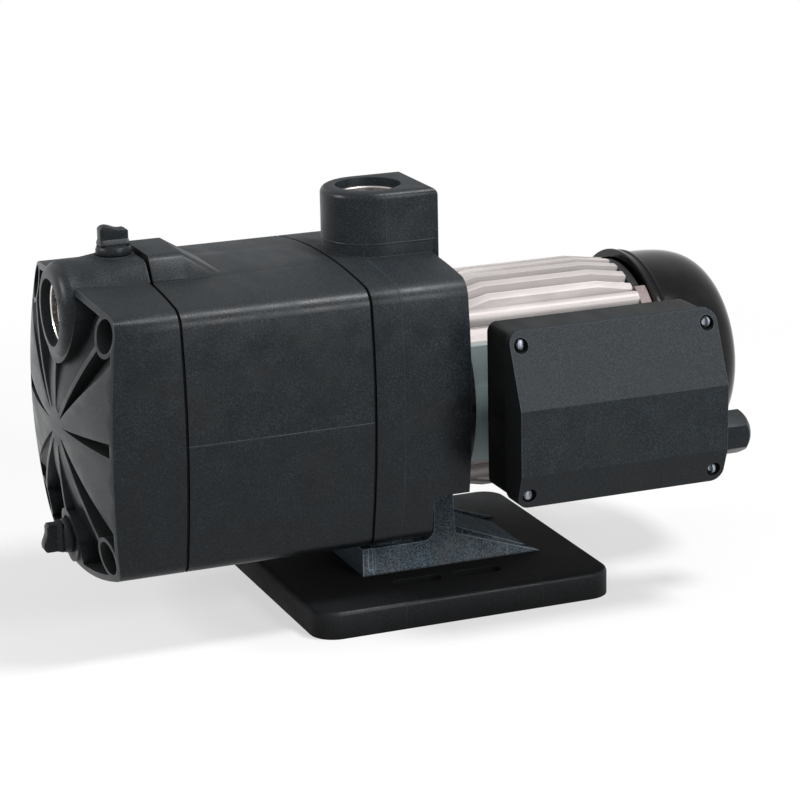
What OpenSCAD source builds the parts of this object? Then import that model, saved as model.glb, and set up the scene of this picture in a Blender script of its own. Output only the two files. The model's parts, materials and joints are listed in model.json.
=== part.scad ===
// Horizontal multistage pump with a closed motor, in millimetres, +Z up.
// The origin is the centre of the foot's underside. The shaft runs along X, with
// the suction side at -X and the fan at +X. The terminal box is on the -Y side.

/* [General] */
// Height of the shaft's centre line above the floor
shaft_h = 114; // [111:1:117]
// Wall of the moulded pump shells
wall = 5; // [4:0.5:6]
// Radial clearance of seats, spigots and bores
fit = 0.05; // [0.03:0.01:0.08]
// Clearance between pieces that move past each other
run_gap = 0.3; // [0.3:0.05:0.5]
// Overrun of every cut past the face that it opens
cut = 1; // [0.8:0.1:1.5]

/* [Pump body section] */
// Half of the body's widest span
body_half_w = 81.5; // [80:0.5:85]
// Rise of the body's top above the shaft's centre line
body_rise = 83; // [81:0.5:85]
// Drop of the body's underside below the shaft's centre line
body_drop = 78; // [76.5:0.5:79]
// Rise of the sides' widest place above the shaft's centre line
side_centre_rise = 18; // [14:1:22]
// Radius of the bulging sides
side_r = 357; // [320:5:400]
// Radius of the gently crowned top
top_r = 450; // [400:10:500]
// Radius of the crowned underside
bottom_r = 234; // [220:2:250]
// Rounding of the upper corners
corner_r = 11; // [9:0.5:12]
// Rounding of the lower corners
low_corner_r = 9; // [8:0.5:11]

/* [Pump body lengths] */
// Length of the front cover along the shaft, from its seam to its crown
cover_len = 49; // [47:1:52]
// Length of the middle casing
casing_len = 106; // [102:1:112]
// Length of the rear casing
bell_len = 56; // [54:1:58]
// Length of the rear casing's full-height part
bell_low_len = 35; // [33:1:36]
// Distance from the foot's centre to the rear casing's back face
bell_back_x = 4; // [3:0.5:5]
// Drop of the rear casing's cut-away underside below the shaft's centre line
bell_step_drop = 43; // [41:1:45]
// Radius of the rear casing's round tail
tail_r = 66; // [65:0.5:67]
// Depth of the recess that takes the motor bracket
tail_recess = 6; // [5:0.5:7]
// Radius of the recess that takes the motor bracket
recess_r = 48; // [46:1:49]
// Width of the groove along each seam
seam_w = 1.6; // [1:0.2:2]
// Depth of the groove along each seam
seam_depth = 1.8; // [1:0.2:2]
// Radius of the stage bore
bore_r = 62; // [61:0.5:63]
// Length of the spigots that enter the stage bore
spigot_len = 8; // [7:0.5:9]
// Wall of the spigots that enter the stage bore
spigot_wall = 6; // [5:0.5:7]
// Section radius of the shell seal rings
ring_section_r = 1.7; // [1.5:0.1:1.9]

/* [Front cover] */
// Radius of the domed front
dome_r = 410; // [380:10:440]
// Rise of the place where the ribs of the front meet above the shaft's centre line
hub_rise = 2; // [0:1:4]
// Radius of the plain boss where the ribs meet
hub_r = 11; // [10:0.5:13]
// Radius of the pocket floors beside the suction and drain bosses
floor_r = 150; // [145:5:165]
// Depth of the creases beside the ribs at the rim
crease_depth = 11; // [9:0.5:12]
// Width of the ribs on the front
rib_w = 3; // [2.6:0.2:4]
// Rim left round the pockets of the front
rim_w = 3.5; // [3:0.5:4.5]
// Depth from the crown to the suction chamber
chamber_depth = 27; // [26.5:0.5:29]

/* [Shell bolts] */
// Half of the span of the upper bolts
bolt_top_half_span = 67.2; // [66:0.4:68]
// Drop of the upper bolts below the body's top
bolt_top_drop = 16.5; // [16:0.5:18]
// Half of the span of the lower bolts
bolt_low_half_span = 60.5; // [59:0.5:61.5]
// Rise of the lower bolts above the body's underside
bolt_low_rise = 21.5; // [20.5:0.5:22.5]
// Radius of the bolt shanks
bolt_r = 4; // [3.5:0.25:4.25]
// Radius of the bolt heads
bolt_head_r = 6.5; // [6:0.25:7]
// Height of the bolt heads
bolt_head_len = 8; // [7:0.5:9]
// Radius of the counterbores in the front cover
bolt_well_r = 9.2; // [8.5:0.1:9.4]
// Distance from the first seam to the seat of the bolt heads
bolt_seat_depth = 18; // [16:1:19]
// Radius of the bosses round the bolts
bolt_boss_r = 10.5; // [9.5:0.5:11]
// Ring of plastic round the counterbores
bolt_ring_w = 2.4; // [2:0.2:3]
// Radius of the brass inserts that the bolts enter
bolt_insert_r = 6; // [5.5:0.25:6.5]
// Length of the brass inserts that the bolts enter
bolt_insert_len = 16; // [14:1:18]
// Distance from the second seam to the brass inserts
bolt_insert_depth = 8; // [6:1:9]
// Thickness of the washers under the bolt heads
washer_t = 1.6; // [1.2:0.2:2]

/* [Ports] */
// Radius inside the threaded port inserts
thread_r = 15.15; // [14.9:0.05:15.4]
// Outer radius of the threaded port inserts
insert_r = 18.45; // [18:0.05:19]
// Length of the threaded port inserts
insert_len = 18; // [16:1:19]
// Depth of the plain lip in front of each insert
port_lip = 5; // [4:0.5:6]
// Radius of the water way behind each insert
water_r = 13; // [12:0.5:14]
// Drop of the suction port's axis below the body's top
suction_drop = 17.8; // [17:0.4:19]
// Radius of the suction boss
suction_boss_r = 27.5; // [26.5:0.5:28]
// Rounding of the suction boss's front edge
suction_lip_r = 7.5; // [6:0.5:8]
// Distance of the discharge port's axis from the foot's centre
discharge_x = -22.4; // [-23:0.2:-21.8]
// Rise of the discharge port's face above the body's top
discharge_rise = 35; // [31:1:39]
// Radius of the discharge port's round side
discharge_boss_r = 26.8; // [26:0.4:28]
// Overhang of the discharge port's flat side behind the rear casing
discharge_overhang = 4.4; // [3.6:0.4:5.2]
// Rise of the flat hump on the middle casing above the body's top
hump_rise = 12.6; // [12:0.2:13.4]
// Rise of the flat hump on the front cover above the body's top
cover_hump_rise = 10.2; // [9.8:0.1:10.6]
// Rounding of the humps' upper edges
hump_edge_r = 6; // [4:0.5:7]
// Height of the round pad under the filler plug above the cover's hump
filler_pad_t = 0.6; // [0.4:0.1:0.8]
// Half width of the hump at its top
hump_half_w = 24; // [22:1:25]
// Half width of the hump at its foot
hump_foot_half_w = 29; // [27:1:30]
// Length of the hump's flat top on the middle casing
hump_len = 19; // [17:1:21]
// Length of the slope that ends the hump
hump_slope_len = 23; // [20:1:26]

/* [Filler and drain plugs] */
// Distance from the first seam to the filler plug's axis
filler_back = 12; // [11:0.5:13]
// Rise of the drain plug's axis above the body's underside
drain_rise = 17; // [16:0.5:18]
// Depth of the drain boss's face behind the crown
drain_face_depth = 5; // [4.5:0.5:6]
// Radius of the round pad under each plug
plug_pad_r = 11; // [10.8:0.1:11.2]
// Radius of the drain boss
drain_boss_r = 15; // [14:0.5:15.5]
// Radius of the plugs' threaded shank
plug_shank_r = 6.5; // [6:0.25:7]
// Length of the plugs' threaded shank
plug_shank_len = 9; // [8:0.5:10]
// Radius of the plugs' collar
plug_collar_r = 9.8; // [9.6:0.1:10.4]
// Height of the plugs' collar
plug_collar_len = 4.6; // [4:0.2:5.2]
// Width of the plugs' winged grip
grip_w = 17; // [15:0.5:18.5]
// Thickness of the plugs' winged grip
grip_t = 8; // [7:0.5:9]
// Height of the plugs' winged grip above the collar
grip_len = 11.5; // [9.5:0.5:12]
// Radius of the saddle in the grip's edge
grip_saddle_r = 9; // [8:0.5:10]
// Depth of the saddle in the grip's edge
grip_saddle_depth = 1.6; // [1:0.2:2]
// Section radius of the plugs' seal rings
plug_ring_r = 0.9; // [0.8:0.05:1]
// Inner radius of the groove for the plugs' seal rings
plug_groove_r = 7; // [6.9:0.05:7.1]

/* [Stages] */
// Thickness of the plates between the stages
plate_t = 2.5; // [2.2:0.1:2.8]
// Wall of the stage bowls
bowl_wall = 3; // [2.5:0.25:3.5]
// Radius of the eye holes between the stages
eye_r = 17; // [16.5:0.25:17.5]
// Radius of the impellers
impeller_r = 50; // [48:0.5:52]
// Thickness of the impellers' shrouds
shroud_t = 1.2; // [1:0.1:1.4]
// Width of the impellers' passages
passage_w = 4.2; // [3.8:0.1:4.5]
// Wall of the impellers' eye collars
collar_wall = 1.7; // [1.5:0.1:2]
// Gap in front of each impeller inside its bowl
impeller_gap = 3.4; // [3:0.1:3.6]
// Thickness of the impeller blades
blade_t = 1.6; // [1.4:0.1:2]
// Radius of the impeller hubs and spacer sleeves
sleeve_r = 9.6; // [9.4:0.1:10]
// Thickness of the guide vanes
vane_t = 2; // [1.8:0.1:2.4]

/* [Shaft] */
// Radius of the shaft in the pump
pump_shaft_r = 7; // [6.8:0.05:7.1]
// Radius of the shaft at the front bearing
front_journal_r = 8.5; // [8.4:0.05:8.6]
// Radius of the shaft in the rotor
rotor_shaft_r = 10; // [9.5:0.25:10.5]
// Radius of the shaft at the rear bearing
rear_journal_r = 7.5; // [7.4:0.05:7.6]
// Radius of the shaft at the fan
fan_shaft_r = 6; // [5.8:0.1:6.2]
// Radius across the impeller nut's corners
nut_r = 11; // [10.5:0.25:11.5]
// Length of the impeller nut
nut_len = 8; // [7:0.5:9]

/* [Shaft seal] */
// Radius of the seal's carbon seat
seat_r = 14; // [13.5:0.25:14.5]
// Thickness of the seal's carbon seat
seat_t = 6; // [5.5:0.25:6.5]
// Thickness of the rear casing's back wall
back_wall = 6; // [5.5:0.25:6.5]
// Length of the hub that holds the seat
seat_hub_len = 8; // [7:0.5:9]
// Wall of the hub that holds the seat
seat_hub_wall = 6; // [5:0.5:7]
// Radius of the rotating seal head
head_r = 13; // [12.5:0.25:13.5]
// Length of the rotating seal head
head_len = 8; // [7:0.5:8.5]
// Radius of the seal spring's wire
spring_wire_r = 0.8; // [0.7:0.05:0.9]
// Mean radius of the seal spring
spring_r = 8.7; // [8.6:0.05:8.8]
// Turns of the seal spring
spring_turns = 4; // [3:1:5]
// Radius of the rubber flinger on the shaft
flinger_r = 15; // [14:0.5:16]

/* [Motor] */
// Radius of the motor bracket's rim
flange_r = 64; // [63:0.25:64.5]
// Thickness of the motor bracket's rim
flange_t = 10; // [9:0.5:11]
// Length of the motor frame
frame_len = 111; // [108:1:114]
// Radius over the tips of the cooling fins
fin_r = 62.5; // [62:0.25:63]
// Radius of the motor frame's shell
shell_r = 56; // [55.5:0.25:56.5]
// Radius of the motor frame's bore
frame_bore_r = 52; // [51.5:0.25:52]
// Spacing of the cooling fins
fin_pitch = 10.5; // [10:0.25:11]
// Thickness of the cooling fins
fin_t = 4.5; // [4:0.25:5]
// Distance of the flat side pads from the centre line
pad_half_w = 54.5; // [54:0.25:55.5]
// Half height of the flat side pads
pad_half_h = 33; // [31:0.5:34]
// Radius of the circle of the motor's tie rods
rod_circle_r = 57; // [56.5:0.25:57.5]
// Radius of the motor's tie rods
rod_r = 2.4; // [2.2:0.1:2.5]
// Radius of the lugs round the tie rods
rod_lug_r = 5; // [4.75:0.25:5.25]
// Thickness of the rear shield's plate
shield_t = 5; // [4:0.5:6]
// Distance from the motor bracket's back to the stator
stator_front = 25; // [24:0.5:26]
// Length of the stator
stator_len = 60; // [56:1:62]
// Radius of the stator's bore
stator_bore_r = 31; // [30.5:0.25:31.5]
// Air gap between rotor and stator
air_gap = 0.5; // [0.4:0.05:0.6]
// Radius of the circle of the stator's slots
slot_circle_r = 38; // [37.5:0.25:38.5]
// Radius of the stator's slots
slot_r = 3.4; // [3.2:0.1:3.6]
// Length of the end windings
winding_len = 11; // [10:0.5:12]
// Radial thickness of the end windings
winding_w = 12; // [11:0.5:13]
// Thickness of the rotor's end rings
end_ring_t = 5; // [4.5:0.25:5.5]

/* [Bearings] */
// Outer radius of the front bearing
front_bearing_r = 20; // [19.5:0.25:20.5]
// Width of the front bearing
front_bearing_w = 12; // [11.5:0.25:12.5]
// Outer radius of the rear bearing
rear_bearing_r = 17.5; // [17:0.25:18]
// Width of the rear bearing
rear_bearing_w = 11; // [10.5:0.25:11.5]
// Wall of the bearing housings
housing_wall = 4; // [3.5:0.25:4.5]
// Thickness of the wave washer
wave_t = 1; // [0.8:0.1:1.2]

/* [Fan and cover] */
// Distance from the frame's end to the fan cover
cover_gap = 7; // [6.5:0.25:7.5]
// Radius of the fan cover's front rim
cover_rim_r = 63.5; // [63:0.25:64]
// Length of the fan cover's front band
cover_band_len = 7; // [6.5:0.25:7.5]
// Radius of the fan cover's dome
cover_r = 60.8; // [60.5:0.1:61.2]
// Length of the fan cover's dome
cover_dome_len = 50; // [48:1:52]
// Wall of the fan cover
cover_wall = 1.8; // [1.6:0.1:2]
// Radius of the fan
fan_r = 49; // [46:0.5:50]
// Length of the fan blades along the shaft
fan_len = 18; // [16:0.5:20]
// Thickness of the fan blades
fan_blade_t = 2; // [1.6:0.1:2.4]
// Radius of the fan's hub
fan_hub_r = 11; // [10:0.5:12]
// Width of the air slots in the cover's back
air_slot_w = 4; // [3.5:0.25:4.5]

/* [Terminal box] */
// Length of the terminal lid
lid_len = 124; // [120:1:128]
// Distance of the lid's front end from the foot's centre
lid_x = 13.5; // [12.5:0.5:14.5]
// Drop of the lid's lower edge below the shaft's centre line
lid_drop = 42; // [40:1:44]
// Rise of the lid's upper edge above the shaft's centre line
lid_rise = 54; // [52:1:56]
// Distance of the box's back from the centre line
box_back_y = 77.5; // [77:0.25:78]
// Distance of the lid's rim from the centre line
lid_rim_y = 104; // [103:0.5:105]
// Distance of the lid's face from the centre line
lid_face_y = 125; // [124:0.5:126]
// Depth of the lid's straight rim
lid_rim_t = 4; // [3.5:0.25:4.5]
// Thickness of the lid along its lower edge
lid_lower_t = 14; // [12:0.5:15]
// Rise of the lid's upper crease above the shaft's centre line
lid_crease_rise = 14; // [12:1:16]
// Drop of the lid's lower crease below the shaft's centre line
lid_crease_drop = 22.5; // [21:0.5:24]
// Rounding of the lid's corners
lid_corner_r = 7; // [6:0.5:8]
// Inset of the box below the lid's rim
box_inset = 1.5; // [1:0.25:2]
// Wall of the terminal box and lid
box_wall = 3; // [2.5:0.25:3.5]
// Distance of the lid screws from the lid's ends
lid_screw_in = 6.5; // [6:0.25:7]
// Distance of the lid screws from the lid's upper and lower edges
lid_screw_up = 7.5; // [7:0.25:8]
// Radius of the lid screws' heads
lid_screw_head_r = 3; // [2.8:0.1:3.2]
// Radius of the recesses over the lid screws
lid_screw_well_r = 4.1; // [3.9:0.1:4.3]
// Radius of the lid screws
lid_screw_r = 1.9; // [1.7:0.1:2]
// Thickness of the rubber pad between box and frame
gasket_t = 1.5; // [1:0.25:2]
// Half length of the neck that carries the box
neck_half_len = 36; // [35.5:0.5:38]
// Half height of the neck that carries the box
neck_half_h = 24; // [22:1:26]
// Radius of the wire passage in the neck
wire_r = 4.5; // [4:0.25:5]

/* [Cable gland] */
// Drop of the cable gland below the shaft's centre line
gland_drop = 24; // [22:0.5:25]
// Distance of the cable gland from the centre line
gland_y = 92; // [91:0.25:92.5]
// Radius across the gland's corners
gland_hex_r = 12.8; // [12:0.2:13.2]
// Length of the gland's nut
gland_nut_len = 23; // [21:0.5:25]
// Length of the gland body's hexagon
gland_body_len = 6; // [5:0.5:7]
// Radius of the gland's threads
gland_thread_r = 8.2; // [8:0.1:8.4]
// Length of the gland's outer thread
gland_thread_len = 10; // [9:0.5:11]
// Radius of the cable passage
cable_r = 4.5; // [4:0.25:5]
// Outer radius of the gland's rubber sleeve
gland_seal_r = 6.6; // [6.4:0.1:6.8]

/* [Foot] */
// Length of the foot along the shaft
foot_len = 178; // [172:1:182]
// Width of the foot
foot_w = 167; // [162:1:172]
// Thickness of the foot plate
foot_t = 15.4; // [14.4:0.2:16.4]
// Rounding of the foot plate's corners
foot_corner_r = 14; // [12:0.5:16]
// Rounding of the foot plate's upper edge
foot_edge_r = 2.8; // [2:0.2:3.4]
// Skin and outer wall of the hollow foot plate
foot_wall = 4; // [3:0.5:5]
// Thickness of the ribs under the foot plate
foot_rib_t = 3; // [2.5:0.25:3.5]
// Length of the foot's slots
slot_len = 29; // [27:0.5:30]
// Width of the foot's slots
slot_w = 10; // [9:0.5:11]
// Spacing of the slots along the shaft
slot_span_x = 36; // [35:0.5:40]
// Spacing of the slots across the shaft
slot_span_y = 104; // [100:1:108]
// Half width of the pedestal over its side webs
ped_half_w = 35; // [34:0.5:37]
// Thickness of the pedestal's side webs
web_t = 3.5; // [3:0.25:4]
// Half width of the pedestal's core
core_half_w = 22; // [20:0.5:24]
// Distance of the pedestal's front from the foot's centre
ped_front_x = -44; // [-46:0.5:-42]
// Distance of the pedestal's toe from the foot's centre
ped_toe_x = 65.5; // [62:0.5:68]
// Height at which the pedestal's slope meets its column
ped_slope_h = 33.5; // [32:0.5:35]
// Height of the side webs' upper edge in front of the column
web_top_h = 31.5; // [30:0.5:33]
// Rounding between the side webs' upper edge and the column
web_fillet_r = 7; // [5:0.5:8]
// Front of the pedestal's column
column_x = -0.5; // [-2:0.5:0]
// Length of the column in the side webs at its top
column_len = 10.5; // [9:0.5:12]
// Extra length of the column at its foot
column_flare = 2.5; // [1.5:0.5:3.5]
// Extra length of the core's column behind the side webs
core_step = 4; // [3:0.5:5]
// Radius of the foot screws
foot_screw_r = 3; // [2.8:0.1:3.2]
// Radius of the foot screws' heads
foot_screw_head_r = 5.5; // [5:0.25:6]
// Spacing of the foot screws across the shaft
foot_screw_span = 28; // [26:1:30]

/* [Hidden] */

$fn = 64;
dome_fn = 360;
arc_steps = 6;
stages = 4;
impeller_blades = 6;
guide_vanes = 8;
stator_slots = 18;
bearing_balls = 8;
fan_blades = 7;
rod_angle = 40;
blade_lean = 32;
vane_lean = 24;

// Heights
body_top_h = shaft_h + body_rise;
body_bottom_h = shaft_h - body_drop;
side_centre_h = shaft_h + side_centre_rise;
bell_step_h = shaft_h - bell_step_drop;
hub_h = shaft_h + hub_rise;
bolt_top_h = body_top_h - bolt_top_drop;
bolt_low_h = body_bottom_h + bolt_low_rise;
suction_h = body_top_h - suction_drop;
discharge_h = body_top_h + discharge_rise;
hump_h = body_top_h + hump_rise;
cover_hump_h = body_top_h + cover_hump_rise;
drain_h = body_bottom_h + drain_rise;
lid_bottom_h = shaft_h - lid_drop;
lid_top_h = shaft_h + lid_rise;
lid_crease_top_h = shaft_h + lid_crease_rise;
lid_crease_low_h = shaft_h - lid_crease_drop;
gland_h = shaft_h - gland_drop;

// Places along the shaft
seam_2_x = bell_back_x - bell_len;
seam_1_x = seam_2_x - casing_len;
hub_x = seam_1_x - cover_len;
step_x = seam_2_x + bell_low_len;
chamber_x = hub_x + chamber_depth;
stack_x = seam_1_x + spigot_len;
stack_end_x = seam_2_x - spigot_len;
first_stage_x = stack_x + plate_t;
stage_pitch = (stack_end_x - first_stage_x) / stages;
recess_x = bell_back_x - tail_recess;
back_wall_x = recess_x - back_wall;
frame_x = bell_back_x + flange_t;
frame_end_x = frame_x + frame_len;
cover_x = frame_end_x + cover_gap;
dome_x = cover_x + cover_band_len;
cover_end_x = dome_x + cover_dome_len;
stator_x = frame_x + stator_front;
stator_end_x = stator_x + stator_len;
front_bearing_x = frame_x + flange_t / 5;
rear_bearing_x = frame_end_x - rear_bearing_w - wave_t;
fan_x = frame_end_x + shield_t + wall;

// Bolt places in the YZ plane, upper pair first
bolt_places = [for (side = [-1, 1]) [side * bolt_top_half_span, bolt_top_h],
    for (side = [-1, 1]) [side * bolt_low_half_span, bolt_low_h]];
rod_places = [for (side = [-1, 1], up = [-1, 1])
    [side * rod_circle_r * sin(rod_angle), shaft_h + up * rod_circle_r * cos(rod_angle)]];

// Centres of the arcs of the body's outline
top_centre = [0, body_top_h - top_r];
low_centre = [0, body_bottom_h + bottom_r];
side_centre = [body_half_w - side_r, side_centre_h];

// Crossing of two circles; side picks which of the two
function crossing(a, ra, b, rb, side) =
    let (d = norm(b - a), u = (b - a) / d, s = (ra * ra - rb * rb + d * d) / (2 * d),
        h = sqrt(ra * ra - s * s))
    a + s * u + side * h * [-u[1], u[0]];
function heading(from, to) = atan2(to[1] - from[1], to[0] - from[0]);
function arc(centre, r, from, to) =
    [for (k = [0:arc_steps]) centre + r * [cos(from + (to - from) * k / arc_steps),
        sin(from + (to - from) * k / arc_steps)]];

corner_centre = crossing(top_centre, top_r - corner_r, side_centre, side_r - corner_r, -1);
low_corner_centre = crossing(low_centre, bottom_r - low_corner_r, side_centre, side_r - low_corner_r, 1);

// Right half of the body's outline, drawn in by inset, from the underside to the top
function half_outline(inset) = concat(
    arc(low_centre, bottom_r - inset, -90, heading(low_centre, low_corner_centre)),
    arc(low_corner_centre, low_corner_r - inset, heading(low_centre, low_corner_centre),
        heading(side_centre, low_corner_centre)),
    arc(side_centre, side_r - inset, heading(side_centre, low_corner_centre),
        heading(side_centre, corner_centre)),
    arc(corner_centre, corner_r - inset, heading(side_centre, corner_centre),
        heading(top_centre, corner_centre)),
    arc(top_centre, top_r - inset, heading(top_centre, corner_centre), 90));
function mirrored(points) = [for (k = [len(points) - 1:-1:0]) [-points[k][0], points[k][1]]];
module body_outline(inset = 0) {
    half = half_outline(inset);
    polygon(concat(half, mirrored(half)));
}

// Solids along the shaft; the plane of 2-D children is YZ
module along_x(x, length) translate([x, 0, 0]) rotate([90, 0, 90]) linear_extrude(length) children();
module rod_x(x, length, r, y = 0, z = shaft_h)
    translate([x, y, z]) rotate([0, 90, 0]) cylinder(h = length, r = r);
module ring_x(x, length, r_out, r_in, y = 0, z = shaft_h)
    difference() {
        rod_x(x, length, r_out, y, z);
        rod_x(x - cut, length + 2 * cut, r_in, y, z);
    }
module torus_x(x, r, section_r)
    translate([x, 0, shaft_h]) rotate([0, 90, 0]) rotate_extrude() translate([r, 0])
        circle(r = section_r, $fn = 24);
module slab_xz(y, depth) translate([0, y + depth, 0]) rotate([90, 0, 0]) linear_extrude(depth) children();
module both_sides() {
    children();
    mirror([0, 1, 0]) children();
}

// Foot plate with its pedestal
module foot_shape(inset) {
    r = foot_corner_r - inset;
    length = foot_len - 2 * inset;
    width = foot_w - 2 * inset;
    square([length - 2 * r, width], center = true);
    square([length, width - 2 * r], center = true);
    for (sx = [-1, 1], sy = [-1, 1])
        translate([sx * (length / 2 - r), sy * (width / 2 - r)]) circle(r = r, $fn = 32);
}
module slot_shape(grow = 0) {
    for (sx = [-1, 1], sy = [-1, 1]) translate([sx * slot_span_x / 2, sy * slot_span_y / 2]) {
        square([slot_len - slot_w, slot_w + 2 * grow], center = true);
        for (end = [-1, 1]) translate([end * (slot_len - slot_w) / 2, 0]) circle(r = slot_w / 2 + grow);
    }
}
foot_skin_h = foot_t - foot_wall;
edge_slice = foot_t / 100;
module foot_plate() {
    hull() {
        linear_extrude(foot_t - foot_edge_r) foot_shape(0);
        for (a = [18:18:90]) translate([0, 0, foot_t - foot_edge_r * (1 - sin(a)) - edge_slice])
            linear_extrude(edge_slice) foot_shape(foot_edge_r * (1 - cos(a)) * 4 / 5);
    }
}
cells = 4;
hollow_in = foot_corner_r * 4 / 7;
cell_x = (foot_len - 2 * hollow_in) / cells;
cell_y = (foot_w - 2 * hollow_in) / cells;
module foot_hollow() {
    difference() {
        for (i = [0:cells - 1], j = [0:cells - 1])
            translate([-foot_len / 2 + hollow_in + i * cell_x + foot_rib_t / 2,
                -foot_w / 2 + hollow_in + j * cell_y + foot_rib_t / 2, -cut])
                cube([cell_x - foot_rib_t, cell_y - foot_rib_t, foot_skin_h + cut]);
        translate([0, 0, -2 * cut]) linear_extrude(foot_t + 2 * cut) slot_shape(foot_wall);
        for (sy = [-1, 1]) translate([foot_screw_x, sy * foot_screw_span / 2, -2 * cut])
            cylinder(h = foot_t + 2 * cut, r = foot_screw_head_r + foot_wall);
    }
}
column_top = shaft_h - tail_r / 2;
ledge_h = body_bottom_h + foot_t;
foot_screw_x = (ped_front_x + step_x) / 2;
screw_seat_h = foot_t / 2;
// Side profile of the pedestal: a column on a low block with a sloped toe
module pedestal_profile(top, extra, slope_end) {
    back = column_x + column_len + extra;
    polygon([[ped_front_x, foot_t / 2], [slope_end, foot_t / 2], [slope_end, foot_t],
        [back + column_flare, ped_slope_h], [back, column_top], [column_x, column_top],
        [column_x, top], [ped_front_x, top]]);
    difference() {
        translate([column_x - web_fillet_r, top - foot_t / 2])
            square([web_fillet_r + column_len / 2, web_fillet_r + foot_t / 2]);
        translate([column_x - web_fillet_r, top + web_fillet_r]) circle(r = web_fillet_r);
    }
}
module foot() color([0.24, 0.25, 0.27]) difference() {
    union() {
        foot_plate();
        slab_xz(-core_half_w, 2 * core_half_w) pedestal_profile(ledge_h, core_step, ped_toe_x - web_t);
        both_sides() slab_xz(-ped_half_w, web_t) pedestal_profile(web_top_h, 0, ped_toe_x);
        translate([ped_front_x, -ped_half_w, foot_t / 2])
            cube([web_t, 2 * ped_half_w, web_top_h - foot_t / 2]);
    }
    both_sides() translate([ped_front_x + web_t, -ped_half_w - cut, foot_t + web_t])
        cube([web_t, web_t / 4 + cut, web_top_h]);
    foot_hollow();
    translate([0, 0, -cut]) linear_extrude(foot_t + 2 * cut) slot_shape();
    along_x(seam_1_x, step_x - seam_1_x + fit) body_outline();
    rod_x(step_x - cut, frame_x - step_x + core_step + 2 * cut, tail_r);
    for (sy = [-1, 1]) translate([foot_screw_x, sy * foot_screw_span / 2, -cut]) {
        cylinder(h = body_top_h / 2, r = foot_screw_r + fit);
        cylinder(h = screw_seat_h + cut, r = foot_screw_head_r + run_gap);
    }
}
foot_screw_top = shaft_h - bore_r - wall / 2;
module foot_screws() color([0.72, 0.73, 0.75]) for (sy = [-1, 1])
    translate([foot_screw_x, sy * foot_screw_span / 2, 0]) difference() {
        union() {
            translate([0, 0, screw_seat_h]) cylinder(h = foot_screw_top - screw_seat_h, r = foot_screw_r);
            translate([0, 0, screw_seat_h - foot_screw_r])
                cylinder(h = foot_screw_r, r = foot_screw_head_r);
        }
        translate([0, 0, screw_seat_h - foot_screw_r - cut])
            cylinder(h = foot_screw_r / 2 + cut, r = foot_screw_r, $fn = 6);
    }

// Shell of the body between two places, with the seam grooves at its ends
module body_shell(x, length, groove_front, groove_back) {
    front = groove_front ? seam_w / 2 : 0;
    back = groove_back ? seam_w / 2 : 0;
    along_x(x + front, length - front - back) body_outline();
    along_x(x, length) body_outline(seam_depth);
}
module bolt_bosses(x, length, r) for (p = bolt_places) rod_x(x, length, r, p[0], p[1]);

// Headings of the front's ribs in the YZ plane, and the spans of the deep pockets
bolt_rib_high = atan2(bolt_top_h - hub_h, bolt_top_half_span);
bolt_rib_low = atan2(bolt_low_h - hub_h, bolt_low_half_span);
rib_headings = [0, bolt_rib_high, 90, 180 - bolt_rib_high, 180, 180 - bolt_rib_low, 270, bolt_rib_low];
pocket_spans = [[bolt_rib_high, 90], [-90, bolt_rib_low]];
// Creases beside the ribs: heading of the rib, and the angle that the crease spans
creases = [[bolt_rib_high, -11], [0, 7], [bolt_rib_low, 15]];
reach = body_top_h;
module span_2d(from, to) polygon([[0, 0], reach * [cos(from), sin(from)],
    2 * reach * [cos((from + to) / 2), sin((from + to) / 2)], reach * [cos(to), sin(to)]]);
module front_field() {
    difference() {
        body_outline(rim_w);
        for (a = rib_headings) translate([0, hub_h]) rotate(a) translate([0, -rib_w / 2])
            square([body_top_h, rib_w]);
        translate([0, hub_h]) circle(r = hub_r);
        for (p = bolt_places) translate(p) circle(r = bolt_well_r + bolt_ring_w);
        translate([0, suction_h]) circle(r = suction_boss_r);
        translate([0, drain_h]) circle(r = drain_boss_r);
        translate([-drain_boss_r, 0]) square([2 * drain_boss_r, drain_h]);
    }
}
module both_sides_2d() {
    children();
    mirror([1, 0]) children();
}
module deep_pockets() difference() {
    along_x(hub_x - cut, cover_len) intersection() {
        front_field();
        both_sides_2d() for (span = pocket_spans) translate([0, hub_h]) span_2d(span[0], span[1]);
    }
    translate([hub_x + floor_r, 0, hub_h]) sphere(r = floor_r, $fn = dome_fn);
}
// The floor of a crease is a plane through the hub, deepest along its rib
dome_fall = dome_r - sqrt(dome_r * dome_r - body_half_w * body_half_w);
dome_lean = atan2(dome_fall, body_half_w);
module crease(heading, span) {
    edge = heading + span;
    floor_lean = atan2(crease_depth, body_half_w * sin(abs(span)));
    intersection() {
        along_x(hub_x - cut, cover_len) intersection() {
            front_field();
            translate([0, hub_h]) span_2d(min(heading, edge), max(heading, edge));
        }
        translate([hub_x, 0, hub_h]) rotate([edge, 0, 0]) rotate([0, 0, -dome_lean])
            rotate([0, -sign(span) * floor_lean, 0]) translate([-reach, -reach, -reach])
                cube([reach, 2 * reach, 2 * reach]);
    }
}
module front_creases() both_sides() for (c = creases) crease(c[0], c[1]);
filler_x = seam_1_x - filler_back;
filler_seat_h = cover_hump_h + filler_pad_t;
drain_face_x = hub_x + drain_face_depth;
port_seat_len = port_lip + insert_len;
hump_root_h = body_top_h - corner_r;
// Cross-section of the humps, with round upper edges
module hump_section(top) hull() {
    translate([-hump_foot_half_w, hump_root_h]) square([2 * hump_foot_half_w, body_top_h - hump_root_h]);
    for (side = [-1, 1]) translate([side * (hump_half_w - hump_edge_r), top - hump_edge_r])
        circle(r = hump_edge_r, $fn = 32);
}
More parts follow.
